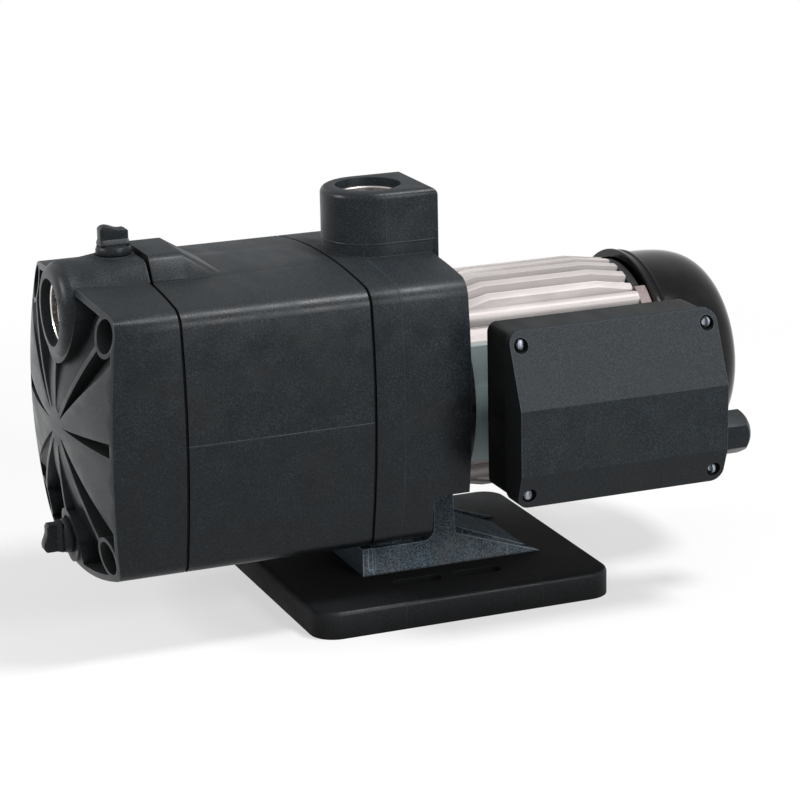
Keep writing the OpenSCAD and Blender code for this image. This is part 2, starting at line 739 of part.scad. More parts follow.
// Suction boss with its rounded front edge, and the blend from it into the hump
module suction_boss() {
    translate([hub_x, 0, suction_h]) rotate([0, 90, 0]) rotate_extrude()
        polygon(concat([[0, 0]],
            arc([suction_boss_r - suction_lip_r, suction_lip_r], suction_lip_r, -90, 0),
            [[suction_boss_r, cover_len - seam_w], [0, cover_len - seam_w]]));
    hull() {
        rod_x(hub_x + 2 * suction_lip_r, wall, suction_boss_r, 0, suction_h);
        along_x(seam_1_x - seam_w, seam_w / 2) hump_section(cover_hump_h);
    }
}
module front_cover() color([0.21, 0.22, 0.24]) difference() {
    union() {
        intersection() {
            body_shell(hub_x, cover_len, false, true);
            translate([hub_x + dome_r, 0, hub_h]) sphere(r = dome_r, $fn = dome_fn);
        }
        suction_boss();
        translate([filler_x, 0, suction_h]) cylinder(h = filler_seat_h - suction_h, r = plug_pad_r);
        rod_x(drain_face_x, chamber_depth, drain_boss_r, 0, drain_h);
        ring_x(seam_1_x - cut, spigot_len + cut, bore_r - fit, bore_r - spigot_wall);
    }
    deep_pockets();
    front_creases();
    difference() {
        along_x(chamber_x, seam_1_x - chamber_x + cut) body_outline(wall);
        bolt_bosses(hub_x, cover_len + 2 * cut, bolt_boss_r);
        ring_x(seam_1_x - wall, wall + 2 * cut, bore_r + wall, bore_r - spigot_wall);
        along_x(seam_1_x - 2 * wall, 2 * wall + 2 * cut) difference() {
            translate([0, shaft_h]) for (a = [0, 180, 270]) rotate(a) translate([bore_r - cut, -wall / 2])
                square([body_half_w, wall]);
            translate([0, shaft_h]) circle(r = bore_r - cut);
        }
        translate([filler_x, 0, filler_seat_h - plug_shank_len - 2 * wall])
            cylinder(h = hump_h, r = plug_shank_r + wall);
    }
    rod_x(hub_x - cut, port_seat_len + cut, insert_r + fit, 0, suction_h);
    rod_x(hub_x, chamber_depth + wall, water_r, 0, suction_h);
    for (p = bolt_places) {
        rod_x(hub_x - cut, seam_1_x - bolt_seat_depth - hub_x + cut, bolt_well_r, p[0], p[1]);
        rod_x(hub_x, cover_len + cut, bolt_r + run_gap, p[0], p[1]);
    }
    translate([filler_x, 0, suction_h])
        cylinder(h = filler_seat_h - suction_h + cut, r = plug_shank_r + fit);
    rod_x(drain_face_x - cut, chamber_depth + wall, plug_shank_r + fit, 0, drain_h);
    rod_x(hub_x - cut, drain_face_depth + cut, plug_pad_r, 0, drain_h);
    ring_x(seam_1_x + spigot_len / 2 - ring_section_r - fit, 2 * ring_section_r + 2 * fit,
        bore_r + cut, ring_seat_r);
}
ring_seat_r = bore_r - 2 * ring_section_r - 2 * fit;
module threaded_insert() {
    difference() {
        cylinder(h = insert_len, r = insert_r);
        translate([0, 0, -cut]) cylinder(h = insert_len + 2 * cut, r = thread_r);
    }
}
module suction_insert() color([0.78, 0.77, 0.74])
    translate([hub_x + port_lip, 0, suction_h]) rotate([0, 90, 0]) threaded_insert();

// Screwed plug with a winged grip, standing on its seat
module plug() {
    difference() {
        union() {
            translate([0, 0, -plug_shank_len])
                cylinder(h = plug_shank_len + plug_collar_len, r = plug_shank_r);
            translate([0, 0, run_gap]) cylinder(h = plug_collar_len - run_gap, r = plug_collar_r);
            slab_xz(-grip_t / 2, grip_t) difference() {
                translate([-grip_w / 2, plug_collar_len - fit]) square([grip_w, grip_len + fit]);
                translate([0, plug_collar_len + grip_len - grip_saddle_depth + grip_saddle_r])
                    circle(r = grip_saddle_r);
            }
        }
        translate([0, 0, -cut]) difference() {
            cylinder(h = cut + 2 * plug_ring_r + 2 * fit + run_gap,
                r = plug_groove_r + 2 * plug_ring_r + 2 * fit);
            translate([0, 0, -cut]) cylinder(h = plug_collar_len + 2 * cut, r = plug_groove_r);
        }
    }
}
module plug_seal() translate([0, 0, plug_ring_r + fit])
    rotate_extrude() translate([plug_groove_r + plug_ring_r + fit, 0]) circle(r = plug_ring_r, $fn = 24);
module at_filler() translate([filler_x, 0, filler_seat_h]) children();
module at_drain() translate([drain_face_x, 0, drain_h]) rotate([0, -90, 0]) children();
module filler_plug() color([0.15, 0.15, 0.16]) at_filler() plug();
module filler_seal() color([0.08, 0.08, 0.08]) at_filler() plug_seal();
module drain_plug() color([0.15, 0.15, 0.16]) at_drain() plug();
module drain_seal() color([0.08, 0.08, 0.08]) at_drain() plug_seal();

// Middle casing: an outer shell and a stage bore, joined by a rear wall
module priming_space(x, length) {
    difference() {
        along_x(x, length) body_outline(wall);
        rod_x(x - cut, length + 2 * cut, bore_r + wall);
        bolt_bosses(x - cut, length + 2 * cut, bolt_boss_r);
    }
}
hump_end_x = seam_1_x + hump_len + hump_slope_len;
module pump_casing() color([0.22, 0.23, 0.25]) difference() {
    union() {
        body_shell(seam_1_x, casing_len, true, true);
        hull() {
            along_x(seam_1_x + seam_w / 2, hump_len) hump_section(hump_h);
            translate([hump_end_x - hump_edge_r, 0, hump_root_h])
                linear_extrude(body_top_h - hump_root_h - seam_depth / 2)
                for (side = [-1, 1]) translate([0, side * (hump_half_w - hump_edge_r)])
                    circle(r = hump_edge_r, $fn = 32);
        }
    }
    priming_space(seam_1_x - cut, casing_len - wall + cut);
    rod_x(seam_1_x - cut, casing_len + 2 * cut, bore_r);
    bolt_bosses(seam_1_x - cut, casing_len + 2 * cut, bolt_r + run_gap);
}
module shell_ring(x) torus_x(x, bore_r - ring_section_r - fit, ring_section_r);
module cover_ring() color([0.08, 0.08, 0.08]) shell_ring(seam_1_x + spigot_len / 2);
module casing_ring() color([0.08, 0.08, 0.08]) shell_ring(seam_2_x - spigot_len / 2);

// Rear casing with the discharge port
discharge_flat_x = bell_back_x + discharge_overhang;
module port_section() {
    circle(r = discharge_boss_r);
    translate([0, -discharge_boss_r]) square([discharge_flat_x - discharge_x, 2 * discharge_boss_r]);
}
bolt_hole_len = bolt_insert_depth + bolt_insert_len;
insert_seat_r = bolt_insert_r + fit;
foot_boss_h = shaft_h - bore_r - wall / 2;
module rear_casing() color([0.21, 0.22, 0.24]) difference() {
    union() {
        difference() {
            body_shell(seam_2_x, bell_len, true, false);
            translate([step_x, -body_half_w - cut, 0])
                cube([bell_len, 2 * body_half_w + 2 * cut, bell_step_h]);
            priming_space(seam_2_x - cut, bell_low_len - wall + cut);
        }
        rod_x(step_x - wall, bell_back_x - step_x + wall, tail_r);
        ring_x(seam_2_x - spigot_len, spigot_len + wall, bore_r - fit, bore_r - spigot_wall);
        translate([discharge_x, 0, hump_root_h]) linear_extrude(discharge_h - hump_root_h) port_section();
        translate([discharge_x, 0, shaft_h]) cylinder(h = body_top_h - shaft_h, r = water_r + wall);
        for (sy = [-1, 1]) translate([foot_screw_x, sy * foot_screw_span / 2, body_bottom_h + wall / 2])
            cylinder(h = foot_boss_h - body_bottom_h - wall / 2, r = foot_screw_head_r + wall / 2);
    }
    difference() {
        rod_x(seam_2_x, back_wall_x - seam_2_x, bore_r - spigot_wall);
        seat_hub();
    }
    rod_x(recess_x, tail_recess + cut, recess_r);
    rod_x(back_wall_x - cut, back_wall + 2 * cut, front_journal_r + run_gap);
    translate([discharge_x, 0, discharge_h - port_seat_len])
        cylinder(h = port_seat_len + cut, r = insert_r + fit);
    translate([discharge_x, 0, shaft_h + head_r + wall])
        cylinder(h = discharge_h - shaft_h - wall - head_r, r = water_r);
    for (p = bolt_places) {
        rod_x(seam_2_x - cut, bolt_insert_depth + cut, bolt_r + run_gap, p[0], p[1]);
        rod_x(seam_2_x + bolt_insert_depth - fit, bolt_insert_len + fit, insert_seat_r, p[0], p[1]);
    }
    for (p = rod_places) rod_x(back_wall_x + rod_r, bell_back_x - back_wall_x, rod_r + fit, p[0], p[1]);
    for (sy = [-1, 1]) translate([foot_screw_x, sy * foot_screw_span / 2, body_bottom_h - cut])
        cylinder(h = foot_screw_top - body_bottom_h + cut, r = foot_screw_r + fit);
    ring_x(seam_2_x - spigot_len / 2 - ring_section_r - fit, 2 * ring_section_r + 2 * fit,
        bore_r + cut, ring_seat_r);
}
module seat_hub() ring_x(back_wall_x - seat_hub_len, seat_hub_len + cut, seat_r + seat_hub_wall,
    seat_r + fit);
module discharge_insert() color([0.78, 0.77, 0.74])
    translate([discharge_x, 0, discharge_h - port_lip]) rotate([180, 0, 0]) threaded_insert();

bolt_seat_x = seam_1_x - bolt_seat_depth;
bolt_end_x = seam_2_x + bolt_hole_len - run_gap;
module tie_bolts() color([0.7, 0.71, 0.73]) for (p = bolt_places) difference() {
    union() {
        rod_x(bolt_seat_x - washer_t - bolt_head_len, bolt_head_len, bolt_head_r, p[0], p[1]);
        rod_x(bolt_seat_x - washer_t - fit, bolt_end_x - bolt_seat_x + washer_t, bolt_r, p[0], p[1]);
    }
    translate([bolt_seat_x - washer_t - bolt_head_len - cut, p[0], p[1]]) rotate([0, 90, 0])
        cylinder(h = bolt_head_len / 2 + cut, r = bolt_r, $fn = 6);
}
module tie_washers() color([0.72, 0.73, 0.75]) for (p = bolt_places)
    ring_x(bolt_seat_x - washer_t, washer_t, bolt_head_r + washer_t, bolt_r + fit, p[0], p[1]);
module bolt_inserts() color([0.78, 0.64, 0.3]) for (p = bolt_places)
    ring_x(seam_2_x + bolt_insert_depth, bolt_insert_len, bolt_insert_r, bolt_r + fit, p[0], p[1]);

// Stages
module suction_disc() color([0.55, 0.56, 0.58])
    ring_x(stack_x, plate_t, bore_r - fit, eye_r);
vane_x = impeller_gap + 2 * shroud_t + passage_w + impeller_gap / 3;
module stage_bowl(k) color([0.5, 0.52, 0.55]) {
    x = first_stage_x + (k - 1) * stage_pitch;
    ring_x(x, stage_pitch, bore_r - fit, bore_r - fit - bowl_wall);
    difference() {
        union() {
            rod_x(x + stage_pitch - plate_t, plate_t, bore_r - bowl_wall);
            for (v = [0:guide_vanes - 1]) translate([x + vane_x, 0, shaft_h])
                rotate([v * 360 / guide_vanes, 0, 0])
                translate([0, 0, eye_r + wall]) rotate([vane_lean, 0, 0])
                cube([stage_pitch - vane_x - plate_t / 2, vane_t, impeller_r - eye_r - 2 * vane_t]);
        }
        rod_x(x + vane_x - cut, stage_pitch, eye_r);
    }
}
collar_r = eye_r - run_gap;
blade_share = 0.97;
blade_span = (impeller_r - eye_r) * blade_share;
module impeller(k) color([0.8, 0.78, 0.7]) {
    x = first_stage_x + (k - 1) * stage_pitch;
    back_x = x + impeller_gap + shroud_t + passage_w;
    ring_x(x + impeller_gap, shroud_t, impeller_r, collar_r - collar_wall);
    ring_x(x - plate_t + run_gap, plate_t + impeller_gap, collar_r, collar_r - collar_wall);
    ring_x(back_x, shroud_t, impeller_r, pump_shaft_r + fit);
    ring_x(x + impeller_gap, shroud_t + passage_w + fit, sleeve_r, pump_shaft_r + fit);
    for (b = [0:impeller_blades - 1]) translate([x + impeller_gap + shroud_t / 2, 0, shaft_h])
        rotate([b * 360 / impeller_blades, 0, 0]) translate([0, 0, eye_r])
        rotate([blade_lean, 0, 0]) cube([passage_w + shroud_t, blade_t, blade_span]);
}
impeller_len = shroud_t * 2 + passage_w;
module spacer_sleeves() color([0.7, 0.71, 0.72]) {
    for (k = [0:stages - 2])
        ring_x(first_stage_x + k * stage_pitch + impeller_gap + impeller_len,
            stage_pitch - impeller_len, sleeve_r, pump_shaft_r + fit);
    ring_x(last_sleeve_x, seal_spring_x - last_sleeve_x, sleeve_r, pump_shaft_r + fit);
}
last_sleeve_x = stack_end_x - stage_pitch + impeller_gap + impeller_len;
nut_x = first_stage_x + impeller_gap - nut_len;
module impeller_nut() color([0.75, 0.76, 0.78]) difference() {
    translate([nut_x, 0, shaft_h]) rotate([0, 90, 0]) cylinder(h = nut_len, r = nut_r, $fn = 6);
    rod_x(nut_x - cut, nut_len + 2 * cut, pump_shaft_r + fit);
}
shaft_steps = [
    [nut_x - nut_len / 4, recess_x, pump_shaft_r],
    [recess_x, front_bearing_x + front_bearing_w, front_journal_r],
    [front_bearing_x + front_bearing_w, rear_bearing_x, rotor_shaft_r],
    [rear_bearing_x, frame_end_x + shield_t, rear_journal_r],
    [frame_end_x + shield_t, fan_x + fan_len, fan_shaft_r]];
module shaft() color([0.68, 0.69, 0.71])
    for (s = shaft_steps) rod_x(s[0], s[1] - s[0], s[2]);

// Shaft seal
seat_x = back_wall_x - seat_t;
head_x = seat_x - run_gap - head_len;
spring_len = (spring_turns + 1) * 3 * spring_wire_r;
seal_spring_x = head_x - spring_len - 2 * fit;
module seal_seat() color([0.2, 0.2, 0.21]) ring_x(seat_x, seat_t, seat_r, front_journal_r + run_gap);
module seal_head() color([0.62, 0.63, 0.65]) {
    ring_x(head_x, head_len / 2, head_r, pump_shaft_r + fit);
    ring_x(head_x + head_len / 2 - fit, head_len / 2 + fit, head_r - seat_t / 4, pump_shaft_r + fit);
}
spring_sides = 6;
spring_rings = spring_turns * 16;
function spring_point(i, j) =
    let (turn = i * 360 * spring_turns / spring_rings, side = j * 360 / spring_sides,
        r = spring_r + spring_wire_r * cos(side))
    [seal_spring_x + spring_wire_r + fit + (spring_len - 2 * spring_wire_r) * i / spring_rings
        + spring_wire_r * sin(side), r * cos(turn), shaft_h + r * sin(turn)];
module seal_spring() color([0.75, 0.76, 0.78]) polyhedron(
    points = [for (i = [0:spring_rings], j = [0:spring_sides - 1]) spring_point(i, j)],
    faces = concat([[for (j = [0:spring_sides - 1]) j]],
        [for (i = [0:spring_rings - 1], j = [0:spring_sides - 1], t = [0, 1])
            let (a = i * spring_sides + j, b = i * spring_sides + (j + 1) % spring_sides,
                c = a + spring_sides, d = b + spring_sides) t == 0 ? [a, c, b] : [b, c, d]],
        [[for (j = [spring_sides - 1:-1:0]) spring_rings * spring_sides + j]]));
module flinger() color([0.1, 0.1, 0.1])
    ring_x(recess_x + run_gap, tail_recess / 2, flinger_r, front_journal_r + fit);

// Motor
bracket_cavity_r = flinger_r + wall;
module motor_bracket() color([0.08, 0.08, 0.09]) difference() {
    union() {
        rod_x(bell_back_x, flange_t, flange_r);
        rod_x(recess_x, tail_recess + fit, recess_r - fit);
        rod_x(frame_x - fit, flange_t / 2, frame_bore_r - fit);
        rod_x(frame_x, front_bearing_w + flange_t / 5, front_bearing_r + housing_wall);
    }
    rod_x(recess_x - cut, tail_recess + cut, bracket_cavity_r);
    rod_x(bell_back_x - cut, 2 * flange_t, front_journal_r + run_gap);
    rod_x(front_bearing_x, front_bearing_w + cut, front_bearing_r + fit);
    difference() {
        rod_x(frame_x - flange_t / 2, flange_t + cut, frame_bore_r - housing_wall);
        rod_x(frame_x - flange_t, 2 * flange_t + cut, front_bearing_r + housing_wall);
    }
    for (p = rod_places) rod_x(recess_x, flange_t * 2, rod_r + fit, p[0], p[1]);
}
fins_each_side = 3;
module fin_envelope() {
    translate([frame_x, 0, shaft_h]) rotate([0, 90, 0]) rotate_extrude()
        polygon([[0, 0], [shell_r + fin_depth / 3, 0], [fin_r, frame_len / 5], [fin_r, frame_len * 4 / 5],
            [shell_r + fin_depth / 2, frame_len], [0, frame_len]]);
}
fin_depth = fin_r - shell_r;
module motor_frame() color([0.85, 0.82, 0.81]) difference() {
    union() {
        rod_x(frame_x, frame_len, shell_r);
        intersection() {
            fin_envelope();
            for (k = [-fins_each_side:fins_each_side])
                translate([frame_x, k * fin_pitch - fin_t / 2, shaft_h - fin_r])
                    cube([frame_len, fin_t, 2 * fin_r]);
        }
        for (p = rod_places) rod_x(frame_x, frame_len, rod_lug_r, p[0], p[1]);
        both_sides() translate([frame_x, -pad_half_w, shaft_h - pad_half_h])
            cube([frame_len, pad_half_w - frame_bore_r / 2, 2 * pad_half_h]);
        translate([box_mid_x - neck_half_len, gasket_t - box_back_y, shaft_h - neck_half_h])
            cube([2 * neck_half_len, box_back_y - gasket_t - frame_bore_r / 2, 2 * neck_half_h]);
    }
    rod_x(frame_x - cut, frame_len + 2 * cut, frame_bore_r);
    for (p = rod_places) rod_x(frame_x - cut, frame_len + 2 * cut, rod_r + run_gap, p[0], p[1]);
    translate([wire_x, 0, shaft_h]) rotate([90, 0, 0]) cylinder(h = box_back_y + cut, r = wire_r);
}
box_mid_x = lid_x + lid_len / 2;
wire_x = stator_end_x + winding_len / 2;
module stator_core() color([0.45, 0.46, 0.48]) difference() {
    rod_x(stator_x, stator_len, frame_bore_r - fit);
    rod_x(stator_x - cut, stator_len + 2 * cut, stator_bore_r);
    slot_bars(stator_x - cut, stator_len + 2 * cut, slot_r);
}
module slot_bars(x, length, r) for (s = [0:stator_slots - 1])
    rod_x(x, length, r, slot_circle_r * sin(s * 360 / stator_slots),
        shaft_h + slot_circle_r * cos(s * 360 / stator_slots));
module stator_windings() color([0.72, 0.4, 0.2]) {
    slot_bars(stator_x - fit, stator_len + 2 * fit, slot_r - fit);
    for (x = [stator_x - winding_len, stator_end_x])
        ring_x(x, winding_len, stator_bore_r + winding_w + air_gap, stator_bore_r + air_gap);
}
rotor_r = stator_bore_r - air_gap;
module rotor_core() color([0.5, 0.51, 0.53]) ring_x(stator_x, stator_len, rotor_r, rotor_shaft_r + fit);
module rotor_end_rings() color([0.78, 0.79, 0.8]) for (x = [stator_x - end_ring_t, stator_end_x])
    ring_x(x, end_ring_t, rotor_r - end_ring_t / 5, (rotor_shaft_r + rotor_r) / 2);

// Ball bearing pieces between a journal and a housing
ball_share = 0.29;
function ball_r(r_in, r_out) = (r_out - r_in) * ball_share;
module bearing_outer(x, w, r_in, r_out) difference() {
    ring_x(x, w, r_out, (r_in + r_out) / 2 + ball_r(r_in, r_out) / 2);
    torus_x(x + w / 2, (r_in + r_out) / 2, ball_r(r_in, r_out) + fit);
}
module bearing_inner(x, w, r_in, r_out) difference() {
    ring_x(x, w, (r_in + r_out) / 2 - ball_r(r_in, r_out) / 2, r_in + fit);
    torus_x(x + w / 2, (r_in + r_out) / 2, ball_r(r_in, r_out) + fit);
}
module bearing_cage(x, w, r_in, r_out) {
    mid = (r_in + r_out) / 2;
    ball = ball_r(r_in, r_out);
    for (b = [0:bearing_balls - 1]) translate([x + w / 2, 0, shaft_h])
        rotate([b * 360 / bearing_balls, 0, 0])
        translate([0, 0, mid]) sphere(r = ball - fit);
    difference() {
        ring_x(x + w / 8, w * 3 / 4, mid + ball / 2 - run_gap, mid - ball / 2 + run_gap);
        for (b = [0:bearing_balls - 1]) translate([x + w / 2, 0, shaft_h])
            rotate([b * 360 / bearing_balls, 0, 0]) translate([0, 0, mid]) sphere(r = ball);
    }
}
module front_bearing_outer() color([0.66, 0.67, 0.69])
    bearing_outer(front_bearing_x, front_bearing_w, front_journal_r, front_bearing_r);
module front_bearing_inner() color([0.7, 0.71, 0.73])
    bearing_inner(front_bearing_x, front_bearing_w, front_journal_r, front_bearing_r);
module front_bearing_balls() color([0.8, 0.8, 0.82])
    bearing_cage(front_bearing_x, front_bearing_w, front_journal_r, front_bearing_r);
module rear_bearing_outer() color([0.66, 0.67, 0.69])
    bearing_outer(rear_bearing_x, rear_bearing_w, rear_journal_r, rear_bearing_r);
module rear_bearing_inner() color([0.7, 0.71, 0.73])
    bearing_inner(rear_bearing_x, rear_bearing_w, rear_journal_r, rear_bearing_r);
module rear_bearing_balls() color([0.8, 0.8, 0.82])
    bearing_cage(rear_bearing_x, rear_bearing_w, rear_journal_r, rear_bearing_r);
module wave_washer() color([0.7, 0.68, 0.6])
    ring_x(frame_end_x - wave_t, wave_t, rear_bearing_r, rear_bearing_r - housing_wall);

// Rear shield, fan and fan cover
shield_r = shell_r + fin_depth / 3;
ear_r = fin_r - cut;
cover_bore_r = cover_r - cover_wall;
cover_lug_len = cover_gap + cover_band_len * 7 / 8;
cover_screw_x = cover_x + cover_band_len / 2;
cover_screw_r = rod_r * 2 / 3;
cover_head_seat_r = cover_r + cover_wall / 5;
module ear_rods(x, length, r) for (p = rod_places) rod_x(x, length, r, p[0], p[1]);
module rear_shield() color([0.8, 0.77, 0.76]) difference() {
    union() {
        rod_x(frame_end_x, shield_t, shield_r);
        rod_x(frame_end_x - shield_t, shield_t + fit, frame_bore_r - fit);
        rod_x(rear_bearing_x, frame_end_x - rear_bearing_x, rear_bearing_r + housing_wall);
        intersection() {
            ear_rods(frame_end_x, cover_gap - run_gap, rod_lug_r * 3 / 2);
            rod_x(frame_end_x, cover_gap, ear_r);
        }
        intersection() {
            for (a = cover_screw_places) translate([0, 0, shaft_h]) rotate([a, 0, 0])
                rod_x(frame_end_x, cover_lug_len, rod_lug_r, 0, cover_bore_r - rod_lug_r / 2);
            rod_x(frame_end_x, cover_lug_len, cover_bore_r - fit);
        }
    }
    rod_x(rear_bearing_x - cut, frame_end_x - rear_bearing_x + cut, rear_bearing_r + fit);
    rod_x(frame_end_x - cut, shield_t + 2 * cut, rear_journal_r + run_gap);
    difference() {
        rod_x(frame_end_x - shield_t - cut, shield_t + cut, frame_bore_r - housing_wall);
        rod_x(frame_end_x - shield_t - 2 * cut, shield_t + 3 * cut, rear_bearing_r + housing_wall);
    }
    for (p = rod_places) {
        rod_x(frame_end_x - cut, cover_gap + 2 * cut, rod_r + fit, p[0], p[1]);
        rod_x(rod_head_x, cover_gap, rod_head_r + fit, p[0], p[1]);
    }
    for (a = cover_screw_places) radial_rod(a, cover_bore_r - rod_lug_r, 2 * rod_lug_r,
        cover_screw_r + fit);
}
rod_head_x = frame_end_x + shield_t / 2;
rod_head_r = rod_r * 8 / 5;
module motor_tie_rods() color([0.72, 0.73, 0.75]) for (p = rod_places) {
    rod_x(back_wall_x + rod_r + run_gap, rod_head_x - back_wall_x - rod_r, rod_r, p[0], p[1]);
    rod_x(rod_head_x, rod_r * 7 / 5, rod_head_r, p[0], p[1]);
}
disc_share = 0.8;
module fan() color([0.16, 0.17, 0.18]) difference() {
    union() {
        rod_x(fan_x, fan_len, fan_hub_r);
        rod_x(fan_x + fan_len / 2, fan_blade_t, fan_r * disc_share);
        for (b = [0:fan_blades - 1]) translate([fan_x + run_gap, 0, shaft_h])
            rotate([b * 360 / fan_blades, 0, 0])
            translate([0, -fan_blade_t / 2, fan_shaft_r + fan_blade_t])
                cube([fan_len - 2 * run_gap, fan_blade_t, fan_r - fan_shaft_r - fan_blade_t]);
    }
    rod_x(fan_x - cut, fan_len + 2 * cut, fan_shaft_r + fit);
}
// Outline of the fan cover: a rim, a grooved band, then a boxy dome
dome_steps = 12;
dome_power = 0.54;
function dome_line(inset) = [for (k = [0:dome_steps]) let (a = 90 * k / dome_steps)
    [k == dome_steps ? 0 : (cover_r - inset) * pow(cos(a), dome_power),
        dome_x + cover_wall / 2 + (cover_dome_len - inset) * pow(sin(a), dome_power)]];
band_line = [[0, cover_x], [cover_rim_r, cover_x], [cover_rim_r, cover_x + cover_band_len / 3],
    [cover_r + cover_wall / 2, cover_x + cover_band_len / 3 + cover_wall / 2],
    [cover_r + cover_wall / 2, dome_x - cover_wall],
    [cover_rim_r - cover_wall / 2, dome_x - cover_wall / 2],
    [cover_rim_r - cover_wall / 2, dome_x + cover_wall / 4]];
bore_line = [[0, cover_x - cut], [cover_bore_r, cover_x - cut]];
module turned(points) translate([0, 0, shaft_h]) rotate([0, 90, 0]) rotate_extrude() polygon(points);
cover_screw_places = [90, 180, 270];
module radial_rod(angle, r_from, length, r)
    translate([cover_screw_x, 0, shaft_h]) rotate([angle, 0, 0]) translate([0, 0, r_from])
        cylinder(h = length, r = r);
air_slots = 16;
slot_from_share = 0.3;
slot_len_share = 0.45;
module fan_cover() color([0.04, 0.04, 0.045]) difference() {
    turned(concat(band_line, dome_line(0)));
    turned(concat(bore_line, dome_line(cover_wall)));
    for (s = [0:air_slots - 1]) translate([cover_end_x - cover_dome_len / 3, 0, shaft_h])
        rotate([s * 360 / air_slots, 0, 0]) translate([0, -air_slot_w / 2, fan_r * slot_from_share])
        cube([cover_dome_len, air_slot_w, fan_r * slot_len_share]);
    for (a = cover_screw_places) {
        radial_rod(a, cover_bore_r - cut, rod_lug_r, cover_screw_r + fit);
        radial_rod(a, cover_head_seat_r, rod_lug_r, cover_screw_r * 2);
    }
}
module fan_cover_screws() color([0.72, 0.73, 0.75]) for (a = cover_screw_places) {
    radial_rod(a, cover_bore_r - rod_lug_r + cover_screw_r,
        cover_head_seat_r - cover_bore_r + rod_lug_r - cover_screw_r,
        cover_screw_r);
    radial_rod(a, cover_head_seat_r, cover_screw_r, cover_screw_r * 2 - run_gap);
}

// Terminal box
module lid_outline(inset) {
    r = lid_corner_r - inset;
    translate([box_mid_x, (lid_top_h + lid_bottom_h) / 2]) {
        square([lid_len - 2 * inset, lid_top_h - lid_bottom_h - 2 * inset - 2 * r], center = true);
        square([lid_len - 2 * inset - 2 * r, lid_top_h - lid_bottom_h - 2 * inset], center = true);
        for (sx = [-1, 1], sz = [-1, 1])
            translate([sx * (lid_len / 2 - inset - r), sz * ((lid_top_h - lid_bottom_h) / 2 - inset - r)])
                circle(r = r);
    }
}
module lid_profile(inset, back) polygon([
    [-lid_rim_y + back, lid_bottom_h + inset], [-lid_rim_y - lid_lower_t + inset / 2, lid_bottom_h + inset],
    [-lid_face_y + inset, lid_crease_low_h], [-lid_face_y + inset, lid_crease_top_h],
    [-lid_rim_y - lid_rim_t + inset / 2, lid_top_h - inset], [-lid_rim_y + back, lid_top_h - inset]]);
module lid_solid(inset, back) intersection() {
    along_x(lid_x + inset, lid_len - 2 * inset) lid_profile(inset, back);
    slab_xz(-lid_face_y - cut, lid_face_y) lid_outline(inset);
}
lid_screw_places = [for (sx = [-1, 1], sz = [-1, 1])
    [box_mid_x + sx * (lid_len / 2 - lid_screw_in),
        (lid_top_h + lid_bottom_h) / 2 + sz * ((lid_top_h - lid_bottom_h) / 2 - lid_screw_up)]];
module lid_rods(y, length, r) for (p = lid_screw_places)
    translate([p[0], -y, p[1]]) rotate([90, 0, 0]) cylinder(h = length, r = r);
lid_seats = [for (p = lid_screw_places)
    lid_rim_y + (p[1] > shaft_h ? lid_rim_t : lid_lower_t - lid_rim_t / 4)];
module terminal_lid() color([0.25, 0.26, 0.28]) difference() {
    union() {
        difference() {
            lid_solid(0, 0);
            lid_solid(box_wall, cut);
        }
        intersection() {
            lid_solid(0, 0);
            lid_rods(lid_rim_y, lid_face_y - lid_rim_y, lid_screw_well_r + box_wall / 2);
        }
    }
    for (k = [0:len(lid_seats) - 1]) translate([lid_screw_places[k][0], -lid_seats[k], lid_screw_places[k][1]])
        rotate([90, 0, 0]) cylinder(h = lid_face_y, r = lid_screw_well_r);
    lid_rods(lid_rim_y - cut, lid_face_y, lid_screw_r + run_gap);
}
box_front_y = lid_rim_y - gasket_t;
module terminal_box() color([0.1, 0.1, 0.11]) difference() {
    union() {
        slab_xz(-box_front_y, box_front_y - box_back_y) lid_outline(box_inset);
        rod_x(box_end_x - box_wall, gland_x - box_end_x + box_wall, gland_boss_r, -gland_y, gland_h);
    }
    difference() {
        slab_xz(-box_front_y - cut, box_front_y - box_back_y - box_wall + cut)
            lid_outline(box_inset + box_wall);
        lid_rods(box_back_y - cut, box_front_y - box_back_y + 3 * cut, lid_screw_well_r);
    }
    lid_rods(box_back_y + box_wall, box_front_y, lid_screw_r + fit);
    translate([wire_x, 0, shaft_h]) rotate([90, 0, 0]) cylinder(h = box_front_y, r = wire_r);
    rod_x(box_end_x - 2 * box_wall, 5 * box_wall, gland_thread_r + fit, -gland_y, gland_h);
}
box_end_x = lid_x + lid_len - box_inset;
gland_boss_r = box_front_y - gland_y - fit;
gland_x = lid_x + lid_len + 2 * run_gap;
module box_gasket() color([0.08, 0.08, 0.08]) difference() {
    translate([box_mid_x - neck_half_len, -box_back_y, shaft_h - neck_half_h])
        cube([2 * neck_half_len, gasket_t, 2 * neck_half_h]);
    translate([wire_x, 0, shaft_h]) rotate([90, 0, 0]) cylinder(h = box_front_y, r = wire_r);
}
module lid_gasket() color([0.08, 0.08, 0.08]) difference() {
    slab_xz(-lid_rim_y, gasket_t) lid_outline(box_inset);
    difference() {
        slab_xz(-lid_rim_y - cut, gasket_t + 2 * cut) lid_outline(box_inset + box_wall);
        lid_rods(box_front_y - cut, gasket_t + 2 * cut, lid_screw_well_r);
    }
    lid_rods(box_front_y - cut, gasket_t + 2 * cut, lid_screw_r + run_gap);
}
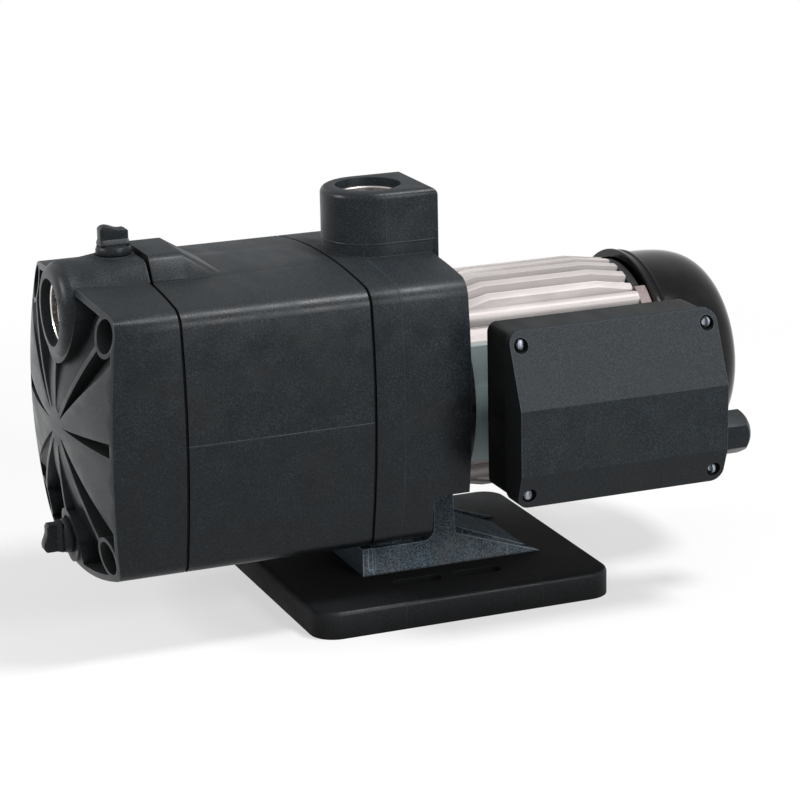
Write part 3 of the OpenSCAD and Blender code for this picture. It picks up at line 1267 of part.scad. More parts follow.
module lid_screws() color([0.78, 0.79, 0.82]) for (k = [0:len(lid_seats) - 1])
    translate([lid_screw_places[k][0], -lid_seats[k], lid_screw_places[k][1]])
    rotate([90, 0, 0]) difference() {
        union() {
            cylinder(h = lid_screw_r * 6 / 5, r = lid_screw_head_r);
            translate([0, 0, box_back_y + 2 * box_wall - lid_seats[k]])
                cylinder(h = lid_seats[k] - box_back_y - 2 * box_wall + fit, r = lid_screw_r);
        }
        for (a = [0, 90]) rotate([0, 0, a])
            translate([-lid_screw_head_r * 3 / 5, -lid_screw_r / 4, lid_screw_r * 3 / 5])
            cube([lid_screw_head_r * 6 / 5, lid_screw_r / 2, lid_screw_r]);
    }
block_len_share = 0.4;
block_from_share = 0.12;
can_from_share = 0.14;
can_len_share = 0.6;
block_len = lid_len * block_len_share;
block_h = neck_half_h;
module terminal_block() color([0.85, 0.84, 0.8])
    translate([lid_x + lid_len * block_from_share, -box_back_y - box_wall - block_depth,
        gland_h - block_h / 2])
    difference() {
        cube([block_len, block_depth, block_h]);
        for (k = [1:block_poles]) translate([block_len * (k - 1 / 2) / block_poles, -cut, block_h / 2])
            rotate([-90, 0, 0]) cylinder(h = block_depth / 2 + cut, r = lid_screw_r * 4 / 3);
    }
block_poles = 6;
block_depth = box_wall * 4;
capacitor_r = lid_face_y / 9;
module capacitor() color([0.75, 0.75, 0.77])
    rod_x(lid_x + lid_len * can_from_share, lid_len * can_len_share, capacitor_r,
    -box_back_y - box_wall - capacitor_r, lid_crease_top_h + capacitor_r);

// Cable gland
module gland_hex(x, length) translate([x, -gland_y, gland_h]) rotate([0, 90, 0])
    cylinder(h = length, r = gland_hex_r, $fn = 6);
gland_nut_x = gland_x + gland_body_len + run_gap;
gland_thread_end = gland_x + gland_body_len + gland_thread_len;
module gland_body() color([0.2, 0.2, 0.21]) difference() {
    union() {
        gland_hex(gland_x, gland_body_len);
        rod_x(box_end_x - 2 * box_wall, gland_thread_end - box_end_x + 2 * box_wall, gland_thread_r,
            -gland_y, gland_h);
    }
    rod_x(box_end_x - 3 * box_wall, gland_thread_end, cable_r + cut, -gland_y, gland_h);
    rod_x(gland_seal_x - fit, gland_thread_len, gland_seal_r + fit, -gland_y, gland_h);
}
gland_seal_x = gland_x + gland_body_len + box_wall;
gland_seal_len = gland_thread_len;
nut_dome_r = gland_hex_r * 5 / 4;
module gland_seal() color([0.06, 0.06, 0.06])
    ring_x(gland_seal_x, gland_seal_len, gland_seal_r, cable_r, -gland_y, gland_h);
module gland_nut() color([0.22, 0.22, 0.23]) difference() {
    intersection() {
        gland_hex(gland_nut_x, gland_nut_len);
        translate([gland_nut_x + gland_nut_len - nut_dome_r, -gland_y, gland_h]) {
            sphere(r = nut_dome_r);
            rotate([0, -90, 0]) cylinder(h = gland_nut_len, r = nut_dome_r);
        }
    }
    rod_x(gland_nut_x - cut, gland_thread_end + run_gap - gland_nut_x + cut, gland_thread_r + fit,
        -gland_y, gland_h);
    rod_x(gland_nut_x, gland_seal_x + gland_seal_len + run_gap - gland_nut_x, gland_seal_r + run_gap,
        -gland_y, gland_h);
    rod_x(gland_nut_x, gland_nut_len + cut, cable_r + run_gap, -gland_y, gland_h);
}

foot();
foot_screws();
front_cover();
suction_insert();
filler_plug();
filler_seal();
drain_plug();
drain_seal();
pump_casing();
rear_casing();
discharge_insert();
cover_ring();
casing_ring();
tie_bolts();
tie_washers();
bolt_inserts();
suction_disc();
stage_bowl(1);  // stage_bowl_1
stage_bowl(2);  // stage_bowl_2
stage_bowl(3);  // stage_bowl_3
stage_bowl(4);  // stage_bowl_4
impeller(1);  // impeller_1
impeller(2);  // impeller_2
impeller(3);  // impeller_3
impeller(4);  // impeller_4
spacer_sleeves();
impeller_nut();
shaft();
seal_seat();
seal_head();
seal_spring();
flinger();
motor_bracket();
motor_frame();
stator_core();
stator_windings();
rotor_core();
rotor_end_rings();
front_bearing_outer();
front_bearing_inner();
front_bearing_balls();
rear_bearing_outer();
rear_bearing_inner();
rear_bearing_balls();
wave_washer();
rear_shield();
motor_tie_rods();
fan();
fan_cover();
fan_cover_screws();
terminal_box();
box_gasket();
terminal_lid();
lid_gasket();
lid_screws();
terminal_block();
capacitor();
gland_body();
gland_seal();
gland_nut();
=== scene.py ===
import json
import math

import bpy
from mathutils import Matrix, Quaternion, Vector


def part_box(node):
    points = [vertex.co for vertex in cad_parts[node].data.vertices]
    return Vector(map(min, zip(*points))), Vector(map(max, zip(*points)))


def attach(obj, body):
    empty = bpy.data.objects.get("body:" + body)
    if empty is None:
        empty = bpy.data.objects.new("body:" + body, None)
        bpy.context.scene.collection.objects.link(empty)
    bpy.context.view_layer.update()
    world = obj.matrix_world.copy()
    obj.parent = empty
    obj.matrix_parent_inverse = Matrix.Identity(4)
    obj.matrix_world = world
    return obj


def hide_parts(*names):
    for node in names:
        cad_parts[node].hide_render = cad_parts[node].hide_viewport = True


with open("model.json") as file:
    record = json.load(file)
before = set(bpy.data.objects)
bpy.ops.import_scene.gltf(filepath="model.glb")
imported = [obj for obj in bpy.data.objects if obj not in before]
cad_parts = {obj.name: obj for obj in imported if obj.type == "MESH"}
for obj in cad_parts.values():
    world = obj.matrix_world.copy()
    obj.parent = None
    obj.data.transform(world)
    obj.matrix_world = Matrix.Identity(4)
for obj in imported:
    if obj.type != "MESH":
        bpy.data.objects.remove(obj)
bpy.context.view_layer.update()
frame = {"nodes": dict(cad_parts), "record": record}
bodyOf = {node: body for body, nodes in frame["record"]["behaviour"]["bodies"].items() for node in nodes}
shaftZ = 0.114       # height of the shaft above the floor, metres
print("frame loaded:", len(frame["nodes"]), "nodes")

photoView = {
    "azimuth": -21.65,       # degrees, seen from the suction side
    "elevation": 16.0,
    "roll": -1.18,
    "distance": 1.6525,      # metres from the aim point
    "aim": (-0.0055, 0.0008, 0.1049),
    "lens": 130.81,          # millimetres
    "sensor": 36,
    "clip": (0.05, 20),
}


def placeCamera(view=photoView):
    turn, rise = math.radians(view["azimuth"]), math.radians(view["elevation"])
    back = Vector((math.sin(turn) * math.cos(rise), -math.cos(turn) * math.cos(rise), math.sin(rise)))
    bpy.ops.object.camera_add(location=Vector(view["aim"]) + back * view["distance"])
    camera = bpy.context.object
    roll = Quaternion((0, 0, 1), math.radians(view["roll"]))
    camera.rotation_euler = (back.to_track_quat("Z", "Y") @ roll).to_euler()
    camera.data.lens, camera.data.sensor_width = view["lens"], view["sensor"]
    camera.data.clip_start, camera.data.clip_end = view["clip"]
    bpy.context.scene.camera = camera


studio = {
    "floorSize": 6.0,
    "floorShade": 0.9,           # as the camera and reflections see it
    "floorBounce": 0.35,         # as it throws light back on the object
    "floorGlow": 0.6,            # how much of the seen floor is plain white, whatever falls on it
    "floorFade": (0.34, 0.75),   # metres from the middle where the paper fades into the white around it
    "worldStrength": 0.22,
    "lights": [                  # name, place, aim, size, watts
        ("leftSoftbox", (-2.0, 0.35, 1.15), (-0.02, 0, 0.1), 0.6, 22),
        ("overheadSoftbox", (0.65, -0.5, 1.75), (0, 0, 0.1), 0.5, 27),
        ("frontSoftbox", (0.8, -1.9, 1.05), (0.05, 0, 0.12), 0.6, 21),
    ],
}


def addNode(tree, kind, inputs=None, **settings):
    # a new shader node: plain settings and sockets by keyword, other inputs by name or number, linked or typed in
    node = tree.nodes.new(kind)
    for key, value in settings.items():
        if hasattr(node, key):
            setattr(node, key, value)
        else:
            node.inputs[key.replace("_", " ")].default_value = value
    for key, source in (inputs or {}).items():
        if isinstance(source, bpy.types.NodeSocket):
            tree.links.new(source, node.inputs[key])
        else:
            node.inputs[key].default_value = source
    return node


def addSoftbox(name, place, aim, size, watts):
    bpy.ops.object.light_add(type="AREA", location=place)
    lamp = bpy.context.object
    lamp.name = name
    lamp.data.shape = "DISK"
    lamp.data.size = size
    lamp.data.energy = watts
    lamp.rotation_euler = (Vector(place) - Vector(aim)).to_track_quat("Z", "Y").to_euler()


def rayMask(tree, *kinds):
    # 1 for the named kinds of ray, 0 for all others
    rays = addNode(tree, "ShaderNodeLightPath")
    mask = rays.outputs[kinds[0]]
    for kind in kinds[1:]:
        mask = addNode(tree, "ShaderNodeMath", {0: mask, 1: rays.outputs[kind]}, operation="MAXIMUM").outputs[0]
    return mask


def whiteWorld():
    # camera, mirror and glass rays meet plain white, the object is lit by a softer grey
    world = bpy.data.worlds.new("studioWorld")
    bpy.context.scene.world = world
    world.use_nodes = True
    tree = world.node_tree
    tree.nodes.clear()
    seen = rayMask(tree, "Is Camera Ray", "Is Glossy Ray", "Is Transmission Ray")
    dim = addNode(tree, "ShaderNodeBackground", Strength=studio["worldStrength"], Color=(1, 1, 1, 1))
    plain = addNode(tree, "ShaderNodeBackground", Strength=1.0, Color=(1, 1, 1, 1))
    mix = addNode(tree, "ShaderNodeMixShader", {0: seen, 1: dim.outputs[0], 2: plain.outputs[0]})
    addNode(tree, "ShaderNodeOutputWorld", {"Surface": mix.outputs[0]})


def paperShader(tree):
    # the seen floor is pale paper, partly lifted to white; what it throws back on the object is darker
    seen = rayMask(tree, "Is Camera Ray", "Is Glossy Ray")
    level = addNode(tree, "ShaderNodeMapRange", {"Value": seen}, To_Min=studio["floorBounce"],
                    To_Max=studio["floorShade"])
    share = addNode(tree, "ShaderNodeMapRange", {"Value": seen}, To_Max=studio["floorGlow"])
    sheet = addNode(tree, "ShaderNodeBsdfDiffuse", {"Color": level.outputs[0]})
    white = addNode(tree, "ShaderNodeEmission", Color=(1, 1, 1, 1), Strength=1.0)
    return addNode(tree, "ShaderNodeMixShader", {0: share.outputs[0], 1: sheet.outputs[0], 2: white.outputs[0]})


def paperFloor():
    bpy.ops.mesh.primitive_plane_add(size=studio["floorSize"], location=(0, 0, 0))
    floor = bpy.context.object
    floor.name = "studioFloor"
    paper = bpy.data.materials.new("floorPaper")
    paper.use_nodes = True
    tree = paper.node_tree
    tree.nodes.clear()
    place = addNode(tree, "ShaderNodeTexCoord")
    reach = addNode(tree, "ShaderNodeVectorMath", {0: place.outputs["Object"]}, operation="LENGTH")
    near, far = studio["floorFade"]
    fade = addNode(tree, "ShaderNodeMapRange", {"Value": reach.outputs["Value"]}, From_Min=near, From_Max=far,
                   interpolation_type="SMOOTHSTEP")
    clear = addNode(tree, "ShaderNodeBsdfTransparent")
    mix = addNode(tree, "ShaderNodeMixShader",
                  {0: fade.outputs[0], 1: paperShader(tree).outputs[0], 2: clear.outputs[0]})
    addNode(tree, "ShaderNodeOutputMaterial", {"Surface": mix.outputs[0]})
    floor.data.materials.append(paper)


def buildStudio():
    whiteWorld()
    paperFloor()
    for light in studio["lights"]:
        addSoftbox(*light)
    bpy.context.scene.view_settings.view_transform = "Standard"
    print("studio built")


def shaded(colour, factor):
    return tuple(min(1, part * factor) for part in colour)


def opaque(colour):
    return colour if isinstance(colour, bpy.types.NodeSocket) else (*colour, 1)


class Finish:
    # one material being built: its node tree, its shader and the Object coordinates that every pattern reads
    feelerRays = 6       # samples for edges and recesses

    def __init__(self, name, **sockets):
        self.material = bpy.data.materials.new(name)
        self.material.use_nodes = True
        self.tree = self.material.node_tree
        self.shader = self.tree.nodes["Principled BSDF"]
        self.place = addNode(self.tree, "ShaderNodeTexCoord").outputs["Object"]
        self.normal = None
        for socket, value in sockets.items():
            self.shader.inputs[socket.replace("_", " ")].default_value = value

    def noise(self, size, detail=3.0, stretch=(1, 1, 1)):
        # size is the width of one blotch in metres
        squeeze = addNode(self.tree, "ShaderNodeMapping", {"Vector": self.place}, Scale=stretch)
        return addNode(self.tree, "ShaderNodeTexNoise", {"Vector": squeeze.outputs[0]}, Scale=1 / size,
                       Detail=detail).outputs["Fac"]

    def waves(self, source, pitch, wobble, **settings):
        return addNode(self.tree, "ShaderNodeTexWave", {"Vector": source}, Scale=math.pi / 10 / pitch,
                       Distortion=wobble, Detail=1.0, **settings).outputs["Fac"]

    def bands(self, pitch, axis, wobble=0.0):
        # straight bands across one axis, one to each pitch in metres
        return self.waves(self.place, pitch, wobble, bands_direction=axis)

    def rings(self, pitch, axis, centre):
        # turning marks: rings round an axis through centre
        move = addNode(self.tree, "ShaderNodeMapping", {"Vector": self.place}, vector_type="TEXTURE", Location=centre)
        return self.waves(move.outputs[0], pitch, 0.3, wave_type="RINGS", rings_direction=axis)

    def between(self, value, low, high, start=0.3, end=0.7):
        return addNode(self.tree, "ShaderNodeMapRange", {"Value": value}, From_Min=start, From_Max=end, To_Min=low,
                       To_Max=high).outputs[0]

    def tint(self, value, *stops):
        # a colour ramp of (place, colour) stops
        ramp = addNode(self.tree, "ShaderNodeValToRGB", {"Fac": value})
        stopList = ramp.color_ramp.elements
        stopList[0].position, stopList[0].color = stops[0][0], opaque(stops[0][1])
        stopList[1].position, stopList[1].color = stops[-1][0], opaque(stops[-1][1])
        for position, colour in stops[1:-1]:
            stopList.new(position).color = opaque(colour)
        return ramp.outputs["Color"]

    def blend(self, mask, first, second):
        return addNode(self.tree, "ShaderNodeMix", {0: mask, 6: opaque(first), 7: opaque(second)}, data_type="RGBA",
                       clamp_result=False).outputs[2]

    def combine(self, operation, first, second, **settings):
        return addNode(self.tree, "ShaderNodeMath", {0: first, 1: second}, operation=operation, **settings).outputs[0]

    def line(self, axis, at, width):
        # 1 on a thin line across an axis, 0 beside it
        away = self.combine("SUBTRACT", self.part(axis), at)
        size = addNode(self.tree, "ShaderNodeMath", {0: away}, operation="ABSOLUTE").outputs[0]
        return self.between(size, 1.0, 0.0, width * 0.4, width)

    def edges(self, radius, soft=0.02, sharp=0.25):
        # 1 on edges and corners, 0 on the faces between them
        rounded = addNode(self.tree, "ShaderNodeBevel", samples=self.feelerRays, Radius=radius).outputs[0]
        flat = addNode(self.tree, "ShaderNodeNewGeometry").outputs["Normal"]
        agree = addNode(self.tree, "ShaderNodeVectorMath", {0: rounded, 1: flat}, operation="DOT_PRODUCT")
        return self.between(agree.outputs["Value"], 1.0, 0.0, 1 - sharp, 1 - soft)

    def rubbedAndHighlit(self, colour, wornAndHighlit, radius, share):
        # a paler colour on edges: rubbed wear, and partly a painted highlight
        return self.blend(self.between(self.edges(radius), 0, share, 0, 1), colour, wornAndHighlit)

    def recesses(self, reach):
        # 0 deep in a pocket or groove, 1 on open faces
        return addNode(self.tree, "ShaderNodeAmbientOcclusion", samples=self.feelerRays, Distance=reach).outputs["AO"]

    def scaled(self, colour, factor):
        return addNode(self.tree, "ShaderNodeVectorMath", {0: colour, "Scale": factor}, operation="SCALE").outputs[0]

    def part(self, axis):
        return addNode(self.tree, "ShaderNodeSeparateXYZ", {0: self.place}).outputs[axis]

    def facing(self, axis):
        normal = addNode(self.tree, "ShaderNodeNewGeometry").outputs["Normal"]
        return addNode(self.tree, "ShaderNodeSeparateXYZ", {0: normal}).outputs[axis]

    def fromShaft(self):
        # metres from the shaft's axis
        move = addNode(self.tree, "ShaderNodeVectorMath", {0: self.place, 1: (0, 0, shaftZ)}, operation="SUBTRACT")
        flat = addNode(self.tree, "ShaderNodeVectorMath", {0: move.outputs[0], 1: (0, 1, 1)}, operation="MULTIPLY")
        return addNode(self.tree, "ShaderNodeVectorMath", {0: flat.outputs[0]}, operation="LENGTH").outputs["Value"]

    def raised(self, value, height, strength=1.0):
        inputs = {"Height": value}
        if self.normal:
            inputs["Normal"] = self.normal
        self.normal = addNode(self.tree, "ShaderNodeBump", inputs, Strength=strength, Distance=height).outputs[0]

    def done(self, **sockets):
        for socket, source in sockets.items():
            self.tree.links.new(source, self.shader.inputs[socket.replace("_", " ")])
        if self.normal:
            self.tree.links.new(self.normal, self.shader.inputs["Normal"])
        return self.material


mouldedPlastic = {
    "dark": (0.0036, 0.0052, 0.0066),
    "plain": (0.0118, 0.0158, 0.0192),
    "pale": (0.034, 0.044, 0.053),
    "brownish": (0.021, 0.019, 0.0165),
    # paler edge colour: rubbed wear and a painted highlight
    "wornAndHighlit": (0.13, 0.15, 0.175),
    "shade": 1.0,                # makes all five darker or paler
    "contrast": 1.0,             # of the grain
    "grainSize": 0.0008,         # metres
    "grainHeight": 0.00008,
    "cloudSize": 0.03,
    "flowSize": 0.012,           # marks left by the plastic as it filled the mould
    "flowStretch": (1, 0.35, 1),
    "flowHeight": 0.0002,
    "edgeWearAndHighlight": (0.0011, 0.5),   # width in metres, and how pale: rubbed wear and a painted highlight on edges
    "specular": 0.2,
    "roughness": (0.27, 0.42),   # on the sides
    "topRoughness": 0.32,        # added on faces that look up, where dust lies
    # painted shade on faces that look up and on faces that look down
    "topShade": 0.8,
    "underShade": 0.62,
    "frontShade": 1.0,           # painted shadow on faces that look along the shaft towards the suction side
    "pocket": (0.016, 0.12, 0.15, 0.85),     # how far a recess is felt, its shade, and where that starts and ends
    "pocketRoughness": 0.5,
    "pedestal": None,            # height where the foot's plate with its painted shadow ends, where its pedestal begins, and how much paler the pedestal is painted: painted light
    "lines": (),                 # fine lines of the split mould: axis, place, lowest and highest point
    "lineWidth": 0.0005,
    "lineShade": (2.6, 0.55),
    "grooves": (),               # places along the shaft of joints, drawn near black as painted shade in their grooves
    "grooveWidth": 0.0016,
    "paintedGrooveShade": (0.0005, 0.0005, 0.0006),
}


def grainedColour(finish, tone, grain, flow, look):
    cloud = finish.noise(look["cloudSize"], 4.0)
    colour = finish.tint(grain, (0.5 - 0.2 * look["contrast"], tone["dark"]), (0.52, tone["plain"]),
                         (0.5 + 0.28 / look["contrast"], tone["pale"]))
    colour = finish.blend(finish.between(cloud, 0.0, 0.3, 0.5, 0.72), colour, tone["brownish"])
    colour = finish.scaled(colour, finish.between(flow, 0.8, 1.25))
    # edges paler: rubbed wear and a painted highlight
    return finish.rubbedAndHighlit(colour, tone["wornAndHighlit"], *look["edgeWearAndHighlight"])


def mouldMarks(finish, colour, tone, look):
    width, soft = look["lineWidth"], 0.001
    factor, share = look["lineShade"]
    for axis, at, low, high in look["lines"]:
        mark = finish.combine("MULTIPLY", finish.line(axis, at, width),
                              finish.between(finish.part("Z"), 0, 1, low, low + soft))
        mark = finish.combine("MULTIPLY", mark, finish.between(finish.part("Z"), 1, 0, high - soft, high))
        colour = finish.blend(finish.between(mark, 0, share, 0, 1), colour, shaded(tone["plain"], factor))
        finish.raised(mark, 0.0002, 0.6)
    for at in look["grooves"]:
        # joint lines drawn near black: painted shade in the groove between the castings
        colour = finish.blend(finish.line("X", at, look["grooveWidth"]), colour, look["paintedGrooveShade"])
    return colour


def pocketShadow(finish, depth, dim, look):
    shadow = finish.between(depth, 1.0, dim, 0, 1)
    if look["pedestal"]:
        # painted light: the pedestal above the plate is painted paler
        start, end, factor = look["pedestal"]
        lift = finish.between(finish.part("Z"), 0, factor, start, end)
        shadow = finish.combine("MAXIMUM", shadow, lift)
    return shadow


def mouldedFinish(name, **changes):
    look = {**mouldedPlastic, **changes}
    finish = Finish(name, Specular_IOR_Level=look["specular"])
    tone = {key: shaded(look[key], look["shade"]) for key in ("dark", "plain", "pale", "brownish", "wornAndHighlit")}
    grain = finish.noise(look["grainSize"])
    flow = finish.noise(look["flowSize"], 5.0, look["flowStretch"])
    reach, dim, low, high = look["pocket"]
    depth = finish.between(finish.recesses(reach), 1.0, 0.0, low, high)      # 1 deep in a recess
    colour = mouldMarks(finish, grainedColour(finish, tone, grain, flow, look), tone, look)
    colour = finish.scaled(colour, pocketShadow(finish, depth, dim, look))
    finish.raised(grain, look["grainHeight"])
    finish.raised(flow, look["flowHeight"], 0.35)
    up = finish.facing("Z")
    # painted shade on faces that look down
    colour = finish.scaled(colour, finish.between(up, look["underShade"], 1.0, -0.35, 0.02))
    # painted shade on faces that look up
    colour = finish.scaled(colour, finish.between(up, 1.0, look["topShade"], 0.8, 0.98))
    # painted shadow on faces that look towards the suction side
    colour = finish.scaled(colour, finish.between(finish.facing("X"), look["frontShade"], 1.0, -0.75, -0.25))
    dust = finish.between(up, 0, look["topRoughness"], 0.76, 0.99)
    grime = finish.combine("ADD", dust, finish.between(depth, 0, look["pocketRoughness"], 0, 1))
    rough = finish.combine("ADD", grime, finish.between(flow, *look["roughness"]), use_clamp=True)
    return finish.done(Base_Color=colour, Roughness=rough)


glossPaint = {
    "black": (0.003, 0.003, 0.0035),
    "bloom": (0.012, 0.012, 0.013),
    "rubbedAndHighlit": (0.05, 0.05, 0.052),
    "specular": 0.13,
    "roughness": (0.05, 0.13),
}


def coverFinish(blackPaintAndShade=glossPaint):
    finish = Finish("glossCoverPaint", Specular_IOR_Level=blackPaintAndShade["specular"])
    haze = finish.noise(0.02)
    peel = finish.noise(0.004, 2.0)
    colour = finish.blend(finish.between(haze, 0, 1, 0.4, 0.75), blackPaintAndShade["black"], blackPaintAndShade["bloom"])
    # the rim's pale edge: wear and a painted highlight
    colour = finish.rubbedAndHighlit(colour, blackPaintAndShade["rubbedAndHighlit"], 0.0008, 0.4)
    finish.raised(peel, 0.00002, 0.25)
    return finish.done(Base_Color=colour, Roughness=finish.between(haze, *blackPaintAndShade["roughness"]))


castAluminium = {
    "plain": (0.52, 0.475, 0.465),
    "shadow": (0.40, 0.37, 0.365),
    "bright": (0.74, 0.70, 0.69),
    "rubbedAndHighlit": (0.86, 0.83, 0.82),
    "flank": (0.32, 0.42, 0.43),
    "flankFrom": (-0.056, -0.044),   # y where the smooth flank beside the terminal box begins
    "roughness": (0.38, 0.6),
}


def aluminiumFinish(cast=castAluminium):
    finish = Finish("castMotorAluminium", Metallic=0.15, Specular_IOR_Level=0.3)
    patch = finish.noise(0.02, 4.0, (0.3, 1, 1))
    grit = finish.noise(0.0009, 2.0)
    colour = finish.tint(patch, (0.3, cast["shadow"]), (0.55, cast["plain"]), (0.8, cast["bright"]))
    # pale edges and fin crests: wear and a painted highlight
    colour = finish.rubbedAndHighlit(colour, cast["rubbedAndHighlit"], 0.0009, 0.7)
    side = finish.between(finish.part("Y"), 1.0, 0.0, *cast["flankFrom"])
    colour = finish.blend(side, colour, cast["flank"])
    # painted shade between the fins and in other recesses
    colour = finish.scaled(colour, finish.between(finish.recesses(0.008), 0.35, 1.0, 0.1, 0.8))
    finish.raised(grit, 0.00008)
    return finish.done(Base_Color=colour, Roughness=finish.between(patch, *cast["roughness"]))


shieldPlate = {
    "earsFrom": 0.0583,          # metres from the shaft where the plate's painted shadow ends and its bare cast ears begin
    "cast": ((0.16, 0.12, 0.118), (0.30, 0.235, 0.23)),
    # the plate inside the ears: near black, as painted shadow
    "blackPaintAndShade": ((0.004, 0.004, 0.005), (0.02, 0.02, 0.022)),
    "roughness": (0.35, 0.55),
}


def shieldFinish(plate=shieldPlate):
    finish = Finish("rearShieldPaintedShade", Specular_IOR_Level=0.25)
    pock = finish.noise(0.0015)
    ears = finish.between(finish.fromShaft(), 0, 1, plate["earsFrom"], plate["earsFrom"] + 0.0005)
    cast, blackPaintAndShade = (finish.tint(pock, (0.3, dark), (0.8, pale)) for dark, pale in (plate["cast"], plate["blackPaintAndShade"]))
    # painted shadow on the plate, cast colour on its ears
    colour = finish.blend(ears, blackPaintAndShade, cast)
    # painted shade in recesses
    colour = finish.scaled(colour, finish.between(finish.recesses(0.006), 0.3, 1.0, 0.1, 0.7))
    finish.raised(pock, 0.0001, 0.6)
    return finish.done(Base_Color=colour, Roughness=finish.between(pock, *plate["roughness"]))


def bracketFinish():
    finish = Finish("bracketPaint", Specular_IOR_Level=0.3)
    pock = finish.noise(0.003)
    colour = finish.tint(pock, (0.3, (0.005, 0.005, 0.006)), (0.8, (0.022, 0.022, 0.024)))
    colour = finish.rubbedAndHighlit(colour, (0.12, 0.12, 0.125), 0.001, 0.5)
    finish.raised(pock, 0.0001, 0.6)
    return finish.done(Base_Color=colour, Roughness=finish.between(pock, 0.3, 0.5))


def turnedSteel(name, colour, axis, centre, mark=0.0004, roughness=(0.14, 0.32)):
    # bright metal with fine tool marks round its axis
    finish = Finish(name, Metallic=1.0)
    marks = finish.rings(mark, axis, centre)
    film = finish.noise(0.004, 4.0)
    tone = finish.blend(finish.between(film, 0, 1), colour, shaded(colour, 0.72))
    tone = finish.rubbedAndHighlit(tone, shaded(colour, 1.4), 0.0006, 0.5)
    finish.raised(marks, 0.00003, 0.6)
    return finish.done(Base_Color=tone, Roughness=finish.between(film, *roughness))


def platedSteel(name, colour, dull, roughness=(0.36, 0.55), metallic=1.0):
    # zinc plate: cloudy, a little blue and yellow, bright on its edges: rubbed wear and a painted highlight
    finish = Finish(name, Metallic=metallic)
    cloud = finish.noise(0.0025, 4.0)
    grit = finish.noise(0.0005, 2.0)
    tone = finish.tint(cloud, (0.3, dull), (0.5, colour), (0.75, shaded(colour, 1.2)))
    tone = finish.rubbedAndHighlit(tone, (0.85, 0.86, 0.88), 0.0005, 0.6)
    finish.raised(grit, 0.00002, 0.7)
    return finish.done(Base_Color=tone, Roughness=finish.between(cloud, *roughness))


def rubberFinish():
    finish = Finish("sealRubber", Specular_IOR_Level=0.2)
    bloom = finish.noise(0.002, 4.0)
    colour = finish.tint(bloom, (0.3, (0.008, 0.008, 0.008)), (0.8, (0.03, 0.03, 0.031)))
    finish.raised(bloom, 0.00005, 0.6)
    return finish.done(Base_Color=colour, Roughness=finish.between(bloom, 0.7, 0.92))


def filledPlastic(name, dark, pale, roughness, spread=0.0012):
    # glass-filled moulding: short pale fibres in a plain base
    finish = Finish(name, Specular_IOR_Level=0.4)
    fibre = finish.noise(spread, 4.0, (1, 0.3, 0.6))
    cloud = finish.noise(0.012)
    colour = finish.tint(fibre, (0.32, dark), (0.72, pale))
    colour = finish.blend(finish.between(cloud, 0, 0.3), colour, shaded(pale, 0.7))
    finish.raised(fibre, 0.00005, 0.6)
    return finish.done(Base_Color=colour, Roughness=finish.between(cloud, *roughness))


def laminationFinish():
    finish = Finish("statorLaminations", Metallic=1.0)
    sheets = finish.bands(0.0005, "X", 0.2)
    rust = finish.noise(0.004, 4.0)
    tone = finish.tint(sheets, (0.15, (0.06, 0.06, 0.065)), (0.6, (0.25, 0.25, 0.26)))
    tone = finish.blend(finish.between(rust, 0, 0.35, 0.55, 0.75), tone, (0.16, 0.09, 0.06))
    finish.raised(sheets, 0.0001, 0.8)
    return finish.done(Base_Color=tone, Roughness=finish.between(rust, 0.4, 0.65))


def windingFinish():
    finish = Finish("enamelledCopper", Metallic=0.75, Coat_Weight=0.5, Coat_Roughness=0.2)
    strands = finish.rings(0.0011, "X", (0, 0, shaftZ))
    cloud = finish.noise(0.006, 4.0)
    tone = finish.tint(cloud, (0.3, (0.28, 0.09, 0.035)), (0.75, (0.6, 0.26, 0.11)))
    tone = finish.blend(finish.between(strands, 0.55, 0, 0.1, 0.6), tone, (0.06, 0.02, 0.01))
    finish.raised(strands, 0.0004, 0.9)
    return finish.done(Base_Color=tone, Roughness=finish.between(cloud, 0.3, 0.5))


def canFinish():
    finish = Finish("capacitorCan", Metallic=1.0)
    drawn = finish.noise(0.002, 3.0, (0.08, 1, 1))
    tone = finish.tint(drawn, (0.3, (0.42, 0.42, 0.44)), (0.75, (0.7, 0.7, 0.72)))
    finish.raised(drawn, 0.00004, 0.6)
    return finish.done(Base_Color=tone, Roughness=finish.between(drawn, 0.22, 0.4))


bodySeams = (-0.158, -0.052)      # where the castings meet along the shaft
brightSteel = (0.86, 0.84, 0.8)


def mouldedFinishes():
    footLines = [("X", -0.0377, -1, 1), ("X", 0.0443, -1, 1)]
    return {
        "pump_plastic": mouldedFinish("pumpCasingPlastic", lines=[("Z", 0.119, 0.11, 0.13)], grooves=bodySeams),
        # the foot: painted shadow on its plate under the pump body, and painted light on its pedestal
        "foot_plastic": mouldedFinish("footPlastic", lines=footLines, pedestal=(0.0155, 0.0165, 10.0), contrast=0.45,
                                      pocket=(0.11, 0.05, 0.42, 0.72)),
        # lid and box: painted shadow on faces that look towards the suction side, where the pump body shades them; the
        # box is also darker all over, partly as painted shade
        "lid_plastic": mouldedFinish("terminalLidPlastic", shade=1.25, contrast=0.7, roughness=(0.5, 0.54),
                                     frontShade=0.1),
        "box_plastic": mouldedFinish("terminalBoxPlastic", shade=0.35, contrast=0.7, pocket=(0.05, 0.05, 0.5, 0.9),
                                     frontShade=0.05),
        "plug_plastic": mouldedFinish("plugPlastic", shade=0.8),
    }


